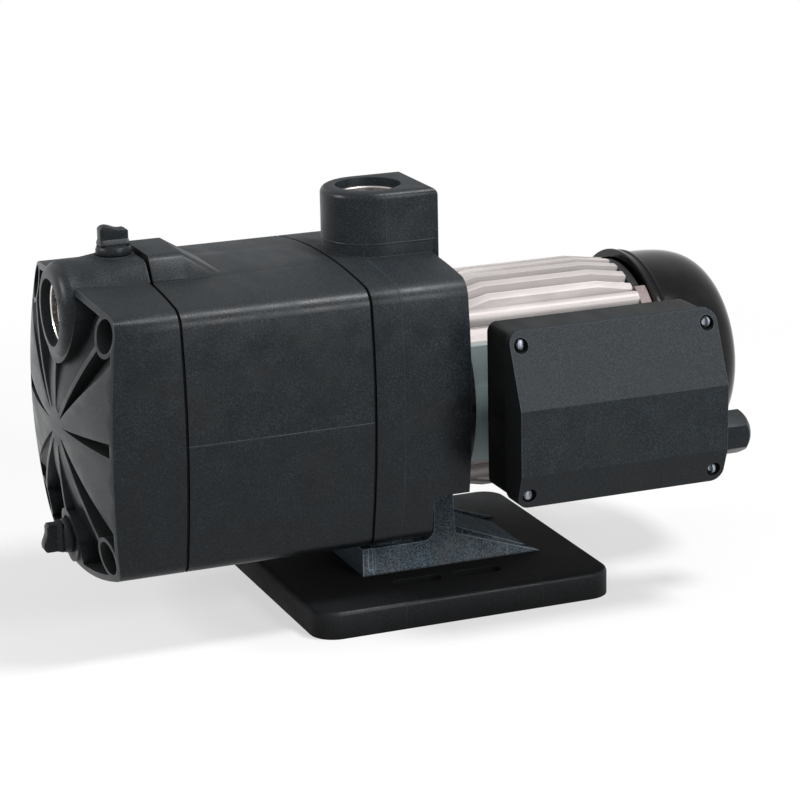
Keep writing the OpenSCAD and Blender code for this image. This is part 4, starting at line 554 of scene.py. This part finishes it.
def filledFinishes():
    # name, its darkest and palest colour, roughness and the size of a fibre
    table = {
        "stage_plastic": ("stageBowlPlastic", (0.12, 0.135, 0.16), (0.26, 0.28, 0.31), (0.38, 0.6)),
        "impeller_plastic": ("impellerPlastic", (0.46, 0.42, 0.3), (0.68, 0.64, 0.5), (0.3, 0.5)),
        "seal_ceramic": ("sealCarbon", (0.02, 0.02, 0.022), (0.06, 0.06, 0.064), (0.18, 0.34), 0.0006),
        "fan_plastic": ("fanPlastic", (0.016, 0.017, 0.02), (0.05, 0.052, 0.058), (0.4, 0.6)),
        "block_plastic": ("terminalBlockPlastic", (0.5, 0.48, 0.43), (0.66, 0.65, 0.6), (0.35, 0.55)),
    }
    return {slot: filledPlastic(*row) for slot, row in table.items()}


def buildFinishes():
    shaft = (0, 0, shaftZ)
    return {
        **mouldedFinishes(),
        **filledFinishes(),
        "port_steel": turnedSteel("portThreadSteel", (0.5, 0.46, 0.45), "Z", (-0.0224, 0, 0), roughness=(0.3, 0.5)),
        "zinc_steel": platedSteel("zincPlatedSteel", (0.62, 0.64, 0.68), (0.42, 0.43, 0.44)),
        "brass": turnedSteel("insertBrass", (0.7, 0.48, 0.2), "X", (0, 0, 0)),
        "shaft_steel": turnedSteel("shaftSteel", (0.6, 0.61, 0.63), "X", shaft),
        "bearing_steel": turnedSteel("bearingSteel", (0.68, 0.69, 0.71), "X", shaft, 0.0003, (0.08, 0.18)),
        "rubber": rubberFinish(),
        "bracket_paint": bracketFinish(),
        "frame_aluminium": aluminiumFinish(),
        "lamination_steel": laminationFinish(),
        "winding_copper": windingFinish(),
        "cover_gloss": coverFinish(),
        "can_aluminium": canFinish(),
    }


def ownFinishes():
    # nodes whose finish differs from that of their slot
    casingLines = [("X", -0.035, -1, 0.2), ("X", -0.0224, 0.2, 1), ("Z", 0.2032, 0.2, 0.21)]
    return {
        "rear_casing": mouldedFinish("rearCasingPlastic", lines=casingLines, grooves=bodySeams),
        "front_cover": mouldedFinish("frontCoverPlastic", grooves=bodySeams, pocket=(0.03, 0.02, 0.38, 0.82)),
        "rear_shield": shieldFinish(),
        "suction_insert": turnedSteel("suctionThreadSteel", brightSteel, "X", (0, 0, 0.1792)),
    }


def dressNodes(finishes):
    slotOf = {row["node"]: row["material_slot"] for row in frame["record"]["subparts"]}
    finishOf = {node: finishes[slot] for node, slot in slotOf.items()}
    finishOf.update(ownFinishes())
    for name, node in frame["nodes"].items():
        for slot in node.material_slots:
            slot.material = finishOf[name]
        if not node.material_slots:
            node.data.materials.append(finishOf[name])
    print("finishes given to", len(finishOf), "nodes")
    return finishOf


def onlySelect(piece):
    bpy.ops.object.select_all(action="DESELECT")
    piece.select_set(True)
    bpy.context.view_layer.objects.active = piece


def applyModifier(piece, kind, **settings):
    onlySelect(piece)
    change = piece.modifiers.new(kind.lower(), kind)
    for key, value in settings.items():
        setattr(change, key, value)
    bpy.ops.object.modifier_apply(modifier=change.name)


def bevelEdges(piece, width, segments, angle, **settings):
    applyModifier(piece, "BEVEL", width=width, segments=segments, limit_method="ANGLE",
                  angle_limit=math.radians(angle), **settings)


def smoothFaces(angle):
    bpy.ops.object.shade_smooth_by_angle(angle=math.radians(angle))


def pick(piece, rule, kind="VERT"):
    # edit mode, with the vertices or faces that the rule takes
    onlySelect(piece)
    bpy.ops.object.mode_set(mode="EDIT")
    bpy.ops.mesh.select_mode(type=kind)
    bpy.ops.mesh.select_all(action="DESELECT")
    bpy.ops.object.mode_set(mode="OBJECT")
    if kind == "VERT":
        for vertex in piece.data.vertices:
            vertex.select = rule(vertex.co)
    else:
        for face in piece.data.polygons:
            face.select = rule(face.normal)
    bpy.ops.object.mode_set(mode="EDIT")


def leaveEdit():
    bpy.ops.object.mode_set(mode="OBJECT")


def near(value, goal, reach=0.00005):
    return abs(value - goal) < reach


def sliceAt(piece, points, normal):
    onlySelect(piece)
    bpy.ops.object.mode_set(mode="EDIT")
    for point in points:
        bpy.ops.mesh.select_all(action="SELECT")
        bpy.ops.mesh.bisect(plane_co=point, plane_no=normal)
    leaveEdit()


def joinPieces(pieces, name):
    onlySelect(pieces[0])
    for piece in pieces[1:]:
        piece.select_set(True)
    bpy.ops.object.join()
    joined = bpy.context.object
    joined.name = name
    return joined


weldReach = 0.000002      # metres


def outwards(piece):
    onlySelect(piece)
    bpy.ops.object.mode_set(mode="EDIT")
    bpy.ops.mesh.select_all(action="SELECT")
    bpy.ops.mesh.remove_doubles(threshold=weldReach)
    bpy.ops.mesh.normals_make_consistent(inside=False)
    leaveEdit()


def settle(piece):
    onlySelect(piece)
    bpy.ops.object.transform_apply(location=True, rotation=True, scale=True)


def addBlock(place, size, turn=(0, 0, 0)):
    bpy.ops.object.select_all(action="DESELECT")
    bpy.ops.mesh.primitive_cube_add(size=1, location=place, rotation=turn, scale=size)
    block = bpy.context.object
    settle(block)
    return block


def addRound(place, radius, length, sides, turn=(0, 0, 0)):
    bpy.ops.object.select_all(action="DESELECT")
    bpy.ops.mesh.primitive_cylinder_add(vertices=sides, radius=radius, depth=length, location=place, rotation=turn)
    rod = bpy.context.object
    settle(rod)
    return rod


def giveFinish(piece, finish):
    piece.data.materials.clear()
    piece.data.materials.append(finish)


def standFor(piece, node):
    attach(piece, bodyOf[node])
    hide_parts(node)


def placeCopy(master, name, place, turn):
    # a copy with its own mesh, turned in degrees and put in its place
    onlySelect(master)
    bpy.ops.object.duplicate()
    piece = bpy.context.object
    piece.name = name
    piece.location = place
    piece.rotation_euler = [math.radians(part) for part in turn]
    settle(piece)
    return piece


softEdges = {  # node: (bevel width in metres, segments, steepest angle shaded smooth)
    "front_cover": (0.0008, 2, 24),
    "pump_casing": (0.0008, 2, 24),
    "rear_casing": (0.0010, 3, 24),
    "foot": (0.0007, 2, 24),
    "terminal_lid": (0.0008, 3, 6),
    "terminal_box": (0.0009, 2, 20),
    "motor_frame": (0.0005, 2, 24),
    "motor_bracket": (0.0005, 2, 24),
    "rear_shield": (0.0005, 2, 24),
    "gland_nut": (0.0007, 3, 24),
    "gland_body": (0.0005, 2, 24),
}
sharpestKept = 28         # degrees: flatter edges get no bevel


def copyNode(node, name):
    onlySelect(frame["nodes"][node])
    bpy.ops.object.duplicate()
    piece = bpy.context.object
    piece.name = name
    bpy.ops.object.mode_set(mode="EDIT")
    bpy.ops.mesh.select_all(action="SELECT")
    bpy.ops.mesh.remove_doubles(threshold=weldReach)
    bpy.ops.mesh.dissolve_limited(angle_limit=math.radians(0.5))
    leaveEdit()
    return piece


portRim = {"x": -0.0224, "top": 0.232, "hole": 0.0225, "rounding": 0.004}


def roundPortRim(piece, port=portRim):
    # the discharge port's outer top edge is rounded more than the other edges
    def onRim(point):
        return point.z > port["top"] - 0.0002 and math.hypot(point.x - port["x"], point.y) > port["hole"]

    pick(piece, onRim)
    bpy.ops.mesh.bevel(offset=port["rounding"], segments=5, affect="EDGES", clamp_overlap=True)
    leaveEdit()


def softenNode(node, width, segments, angle):
    piece = copyNode(node, node + "_shell")
    if node == "rear_casing":
        roundPortRim(piece)
    bevelEdges(piece, width, segments, sharpestKept, use_clamp_overlap=True)
    smoothFaces(angle)
    standFor(piece, node)
    print("softened", node)


threadCap = {  # the hand-turned cap on the filler and drain seats, in metres from its seat, axis up
    "collarRadius": 0.0097,
    "collarHeight": 0.0044,
    "collarRise": 0.0003,
    "collarTaper": 0.93,
    "collarStep": (0.0012, 0.0005),      # width and height of the step round the grip's root
    "gripWidth": 0.0157,
    "gripThick": 0.0070,
    "gripHeight": 0.01145,
    "gripSink": 0.0004,
    "gripLevels": (0.17, 0.36, 0.7),     # ridge, neck and shoulder, as shares of its height
    "bulge": 1.5,                        # how much thicker the grip is at its ridge
    "wave": (-0.0012, 0.0001, 0.0003, -0.0002, -0.0010, -0.0017, -0.0019, -0.0018, -0.0028),
    "shankRadius": 0.0058,
    "shankSink": 0.001,
    "shankCup": (0.0012, 0.0025),        # rim width and depth of the hollow in the shank's end
    "crestRadius": 0.0064,
    "shankLength": 0.0088,
    "threadRun": (0.0012, 0.0022),       # where the thread starts, and how much of the shank has none
    "pitch": 0.00134,
    "places": {"filler_plug": ((-0.170, 0, 0.2078), (0, 0, 0)), "drain_plug": ((-0.202, 0, 0.053), (0, -90, 0))},
}


def gripColumns(cap):
    width, last = cap["gripWidth"], len(cap["wave"]) - 1
    return [-width / 2 + width * k / last for k in range(last + 1)]


def sculptGrip(cap):
    low = cap["collarRise"] + cap["collarHeight"] - cap["gripSink"]
    height = cap["gripHeight"]
    top = low + height
    grip = addBlock((0, 0, low + height / 2), (cap["gripWidth"], cap["gripThick"], height))
    columns = gripColumns(cap)
    sliceAt(grip, [(x, 0, 0) for x in columns[1:-1]], (1, 0, 0))
    levels = [low + height * share for share in cap["gripLevels"]]
    sliceAt(grip, [(0, 0, level) for level in levels], (0, 0, 1))
    for x, lift in zip(columns, cap["wave"]):      # the top edge rises and falls along the width
        pick(grip, lambda point: near(point.x, x) and near(point.z, top))
        bpy.ops.transform.translate(value=(0, 0, lift))
        leaveEdit()
    for level, grow in ((low, cap["bulge"] * 0.92), (levels[0], cap["bulge"])):
        pick(grip, lambda point: near(point.z, level))
        bpy.ops.transform.resize(value=(1.03, grow, 1))
        leaveEdit()
    bevelEdges(grip, 0.0011, 3, 40)
    return grip


def turnCollar(cap):
    middle = cap["collarRise"] + cap["collarHeight"] / 2
    collar = addRound((0, 0, middle), cap["collarRadius"], cap["collarHeight"], 72)
    top = cap["collarRise"] + cap["collarHeight"]
    taper = (cap["collarTaper"], cap["collarTaper"], 1)
    width, rise = cap["collarStep"]
    sliceAt(collar, [(0, 0, middle + 0.0004)], (0, 0, 1))
    pick(collar, lambda point: near(point.z, top))
    bpy.ops.transform.resize(value=taper)
    bpy.ops.mesh.inset(thickness=width, depth=0)
    bpy.ops.mesh.extrude_region_move(TRANSFORM_OT_translate={"value": (0, 0, rise)})
    bpy.ops.transform.resize(value=taper)
    leaveEdit()
    bevelEdges(collar, 0.0004, 3, 25)
    return collar


def turnShank(cap):
    sink = cap["shankSink"]
    length = cap["shankLength"] + cap["collarRise"] + sink
    width, depth = cap["shankCup"]
    shank = addRound((0, 0, sink + cap["collarRise"] - length / 2), cap["shankRadius"], length, 48)
    pick(shank, lambda point: point.z < -cap["shankLength"] / 2)
    bpy.ops.mesh.inset(thickness=width, depth=0)
    bpy.ops.mesh.extrude_region_move(TRANSFORM_OT_translate={"value": (0, 0, depth)})
    leaveEdit()
    bevelEdges(shank, 0.0003, 2, 40)
    return shank


ridgeShape = {"root": 0.46, "crest": 0.1, "bury": 0.0003, "steps": 48}      # half widths as shares of the pitch


def windThread(crest, root, pitch, length, start, inner):
    # a closed ridge that winds up the Z axis; with inner set it stands inwards from its root
    bpy.ops.object.select_all(action="DESELECT")
    bpy.ops.mesh.primitive_plane_add(size=1, location=(0, 0, 0))
    ridge = bpy.context.object
    base = root + ridgeShape["bury"] * (1 if inner else -1)
    corners = [(base, -ridgeShape["root"]), (crest, -ridgeShape["crest"]), (base, ridgeShape["root"]),
               (crest, ridgeShape["crest"])]
    for vertex, (radius, share) in zip(ridge.data.vertices, corners):
        vertex.co = (radius, 0, start + share * pitch)
    applyModifier(ridge, "SCREW", axis="Z", angle=math.tau, screw_offset=pitch, iterations=max(1, int(length / pitch)),
                  steps=ridgeShape["steps"], render_steps=ridgeShape["steps"], use_smooth_shade=True)
    onlySelect(ridge)
    bpy.ops.object.mode_set(mode="EDIT")
    bpy.ops.mesh.select_all(action="SELECT")
    bpy.ops.mesh.fill_holes(sides=8)
    leaveEdit()
    outwards(ridge)
    return ridge


def buildCaps(cap, finish):
    start, bare = cap["threadRun"]
    thread = windThread(cap["crestRadius"], cap["shankRadius"], cap["pitch"], cap["shankLength"] - bare,
                        -cap["shankLength"] + start, False)
    master = joinPieces([turnCollar(cap), sculptGrip(cap), turnShank(cap), thread], "threadCap")
    giveFinish(master, finish)
    smoothFaces(34)
    for node, (place, turn) in cap["places"].items():
        standFor(placeCopy(master, node + "_sculpted", place, turn), node)
    bpy.data.objects.remove(master)
    print("caps sculpted")


portThread = {
    "outerRadius": 0.01845,
    "boreRadius": 0.0166,
    "crestRadius": 0.01515,
    "length": 0.018,
    "leadIn": 0.00055,
    "threadRun": (0.0012, 0.002),        # where the thread starts, and how much of the bore has none
    "pitch": 0.002309,
    "places": {"discharge_insert": ((-0.0224, 0, 0.209), (0, 0, 0)),
               "suction_insert": ((-0.184, 0, 0.1792), (0, -90, 0))},
}


def turnInsert(port):
    length, outer, bore = port["length"], port["outerRadius"], port["boreRadius"]
    tube = addRound((0, 0, length / 2), outer, length, 96)
    pick(tube, lambda normal: abs(normal.z) > 0.9, "FACE")
    bpy.ops.mesh.inset(thickness=outer - bore, depth=0)
    bpy.ops.mesh.bridge_edge_loops()
    leaveEdit()
    outwards(tube)
    pick(tube, lambda point: near(math.hypot(point.x, point.y), bore, 0.0002) and near(point.z, length))
    bpy.ops.mesh.bevel(offset=port["leadIn"], segments=1, affect="EDGES")
    leaveEdit()
    return tube


def buildInserts(port, finishOf):
    start, bare = port["threadRun"]
    tube = turnInsert(port)
    thread = windThread(port["crestRadius"], port["boreRadius"], port["pitch"], port["length"] - bare, start, True)
    master = joinPieces([tube, thread], "portInsert")
    smoothFaces(32)
    for node, (place, turn) in port["places"].items():
        piece = placeCopy(master, node + "_threaded", place, turn)
        giveFinish(piece, finishOf[node])
        standFor(piece, node)
    bpy.data.objects.remove(master)
    print("port inserts threaded")


fanCover = {
    "rim": 0.0635,           # radius over the rim, metres
    "bandLength": 0.007,
    "radius": 0.0608,
    "domeLength": 0.05,
    "domeShape": 0.54,       # below 1 the dome is boxier than a ball
    "wall": 0.0018,
    "spinSteps": 144,
    "airSlots": 16,
    "slotSize": (0.02, 0.004, 0.02205),      # deep, wide and long
    "slotFrom": 0.0147,      # metres from the shaft
    "slotInset": 0.0066,     # from the dome's end to the middle of the slot cutter
    "screwSeats": (90, 180, 270),
    "seatCuts": ((0.0032, 0.00036), (0.00165, -0.004)),      # radius, and floor over the cover's own radius
    "cutLength": 0.008,
}


def domeLine(cover, inset, startX, steps):
    line = []
    for k in range(steps + 1):
        turn = math.pi / 2 * k / steps
        line.append((startX + (cover["domeLength"] - inset) * math.sin(turn) ** cover["domeShape"],
                     max(0.0, (cover["radius"] - inset) * max(0.0, math.cos(turn)) ** cover["domeShape"])))
    return line


def coverOutline(cover, frontX, backX):
    # (along the shaft, from the shaft), out from the pole, over the band and rim, and back inside
    rim, wall, radius = cover["rim"], cover["wall"], cover["radius"]
    domeX, bore = backX - cover["domeLength"], cover["radius"] - cover["wall"]
    lipX, shoulder = frontX + cover["bandLength"] * 0.33, radius + wall * 0.5
    outside = domeLine(cover, 0, domeX, 56)[::-1]
    band = [(domeX - wall * 0.3, rim - wall * 0.6), (domeX - wall, rim - wall * 0.5), (domeX - wall * 1.5, shoulder),
            (lipX + wall * 0.5, shoulder), (lipX, rim - 0.0003), (frontX + cover["bandLength"] * 0.2, rim),
            (frontX + 0.0004, rim), (frontX, rim - 0.0004), (frontX, bore)]
    return outside + band + domeLine(cover, wall, domeX, 40)


def drawLine(points):
    # a single vertex drawn out along the points, as by hand
    bpy.ops.object.select_all(action="DESELECT")
    bpy.ops.mesh.primitive_plane_add(size=0.0001, location=points[0])
    line = bpy.context.object
    settle(line)
    bpy.ops.object.mode_set(mode="EDIT")
    bpy.ops.mesh.select_all(action="SELECT")
    bpy.ops.mesh.merge(type="CENTER")
    for here, there in zip(points, points[1:]):
        step = Vector(there) - Vector(here)
        bpy.ops.mesh.extrude_vertices_move(TRANSFORM_OT_translate={"value": tuple(step)})
    leaveEdit()
    return line


def spinLine(points, centre, axis, steps):
    piece = drawLine(points)
    pick(piece, lambda point: True)
    bpy.ops.mesh.spin(steps=steps, angle=math.tau, center=centre, axis=axis)
    leaveEdit()
    outwards(piece)
    return piece


def cutWith(piece, tools):
    tool = joinPieces(tools, "cutter")
    applyModifier(piece, "BOOLEAN", operation="DIFFERENCE", object=tool, solver="EXACT", use_self=True)
    bpy.data.objects.remove(tool)


def roundShaft(turn):
    # the direction away from the shaft at an angle in radians
    return Vector((0, -math.sin(turn), math.cos(turn)))


def airSlotCutters(cover, centre, backX):
    depth, width, length = cover["slotSize"]
    cutters = []
    for k in range(cover["airSlots"]):
        turn = math.tau * k / cover["airSlots"]
        out = roundShaft(turn) * (cover["slotFrom"] + length / 2)
        place = centre + out + Vector((backX - cover["slotInset"], 0, 0))
        cutters.append(addBlock(place, (depth, width, length), (turn, 0, 0)))
    return cutters


def screwSeatCutters(cover, centre, frontX):
    cutters = []
    place = centre + Vector((frontX + cover["bandLength"] / 2, 0, 0))
    for angle in cover["screwSeats"]:
        turn = math.radians(angle)
        for radius, floor in cover["seatCuts"]:
            middle = cover["radius"] + floor + cover["cutLength"] / 2
            cutters.append(addRound(place + roundShaft(turn) * middle, radius, cover["cutLength"], 32, (turn, 0, 0)))
    return cutters


def buildFanCover(cover, finish):
    low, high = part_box("fan_cover")
    centre = Vector((0, 0, shaftZ))
    points = [(x, 0, shaftZ + reach) for x, reach in coverOutline(cover, low[0], high[0])]
    piece = spinLine(points, centre, (1, 0, 0), cover["spinSteps"])
    piece.name = "fanCoverSpun"
    cutWith(piece, airSlotCutters(cover, centre, high[0]) + screwSeatCutters(cover, centre, low[0]))
    onlySelect(piece)
    giveFinish(piece, finish)
    smoothFaces(30)
    standFor(piece, "fan_cover")
    print("fan cover spun")


lidScrew = {
    "headRadius": 0.0030,
    "domeHeight": 0.0021,
    "domeShare": 0.62,       # how much of the head's height is rounded
    "recess": 0.0036,        # across the cross recess
    "recessWidth": 0.0008,
    "recessDepth": 0.0014,
    "recessTaper": 0.45,
    "recessTurn": 0.6,       # radians
    "shankRadius": 0.0018,
    "shankTaper": 0.6,
    "sink": 0.0004,          # how far the shank reaches into the head
    "foot": -0.0835,         # y where the shank ends
    "seats": {(0.020, 0.0795): -0.117, (0.131, 0.0795): -0.117, (0.020, 0.1605): -0.108, (0.131, 0.1605): -0.108},
    "zinc": ((0.36, 0.4, 0.46), (0.16, 0.18, 0.2), (0.4, 0.6), 0.3),
}


def domeHead(screw):
    # a pan head on the XY plane, its cross cut by two crossed bars
    top = screw["domeHeight"]
    head = addRound((0, 0, top / 2), screw["headRadius"], top, 40)
    pick(head, lambda point: near(point.z, top))
    bpy.ops.mesh.bevel(offset=top * screw["domeShare"], segments=5, affect="EDGES")
    leaveEdit()
    for turn in (screw["recessTurn"], screw["recessTurn"] + math.pi / 2):
        bar = addBlock((0, 0, top), (screw["recess"], screw["recessWidth"], screw["recessDepth"] * 2), (0, 0, turn))
        pick(bar, lambda point: point.z < top)
        bpy.ops.transform.resize(value=(screw["recessTaper"], screw["recessTaper"], 1))
        leaveEdit()
        applyModifier(head, "BOOLEAN", operation="DIFFERENCE", object=bar, solver="EXACT")
        bpy.data.objects.remove(bar)
    return head


def screwShank(screw, x, z, seat):
    length = screw["foot"] - seat + screw["sink"]
    shank = addRound((x, seat - screw["sink"] + length / 2, z), screw["shankRadius"], length, 24,
                     (math.radians(90), 0, 0))
    pick(shank, lambda point: near(point.y, screw["foot"]))
    bpy.ops.transform.resize(value=(screw["shankTaper"], 1, screw["shankTaper"]))
    leaveEdit()
    return shank


def buildLidScrews(screw):
    master = domeHead(screw)
    pieces = []
    for (x, z), seat in screw["seats"].items():
        turn = math.degrees(x * 9 + z * 5)       # no two crosses stand alike
        pieces.append(placeCopy(master, "lidScrewHead", (x, seat, z), (90, 0, turn)))
        pieces.append(screwShank(screw, x, z, seat))
    bpy.data.objects.remove(master)
    screws = joinPieces(pieces, "lidScrews")
    giveFinish(screws, platedSteel("lidScrewZinc", *screw["zinc"]))
    smoothFaces(30)
    standFor(screws, "lid_screws")
    print("lid screws made")


placeCamera()
buildStudio()
finishes = buildFinishes()
finishOf = dressNodes(finishes)
for node, row in softEdges.items():
    softenNode(node, *row)
buildCaps(threadCap, finishes["plug_plastic"])
buildInserts(portThread, finishOf)
buildFanCover(fanCover, finishes["cover_gloss"])
buildLidScrews(lidScrew)
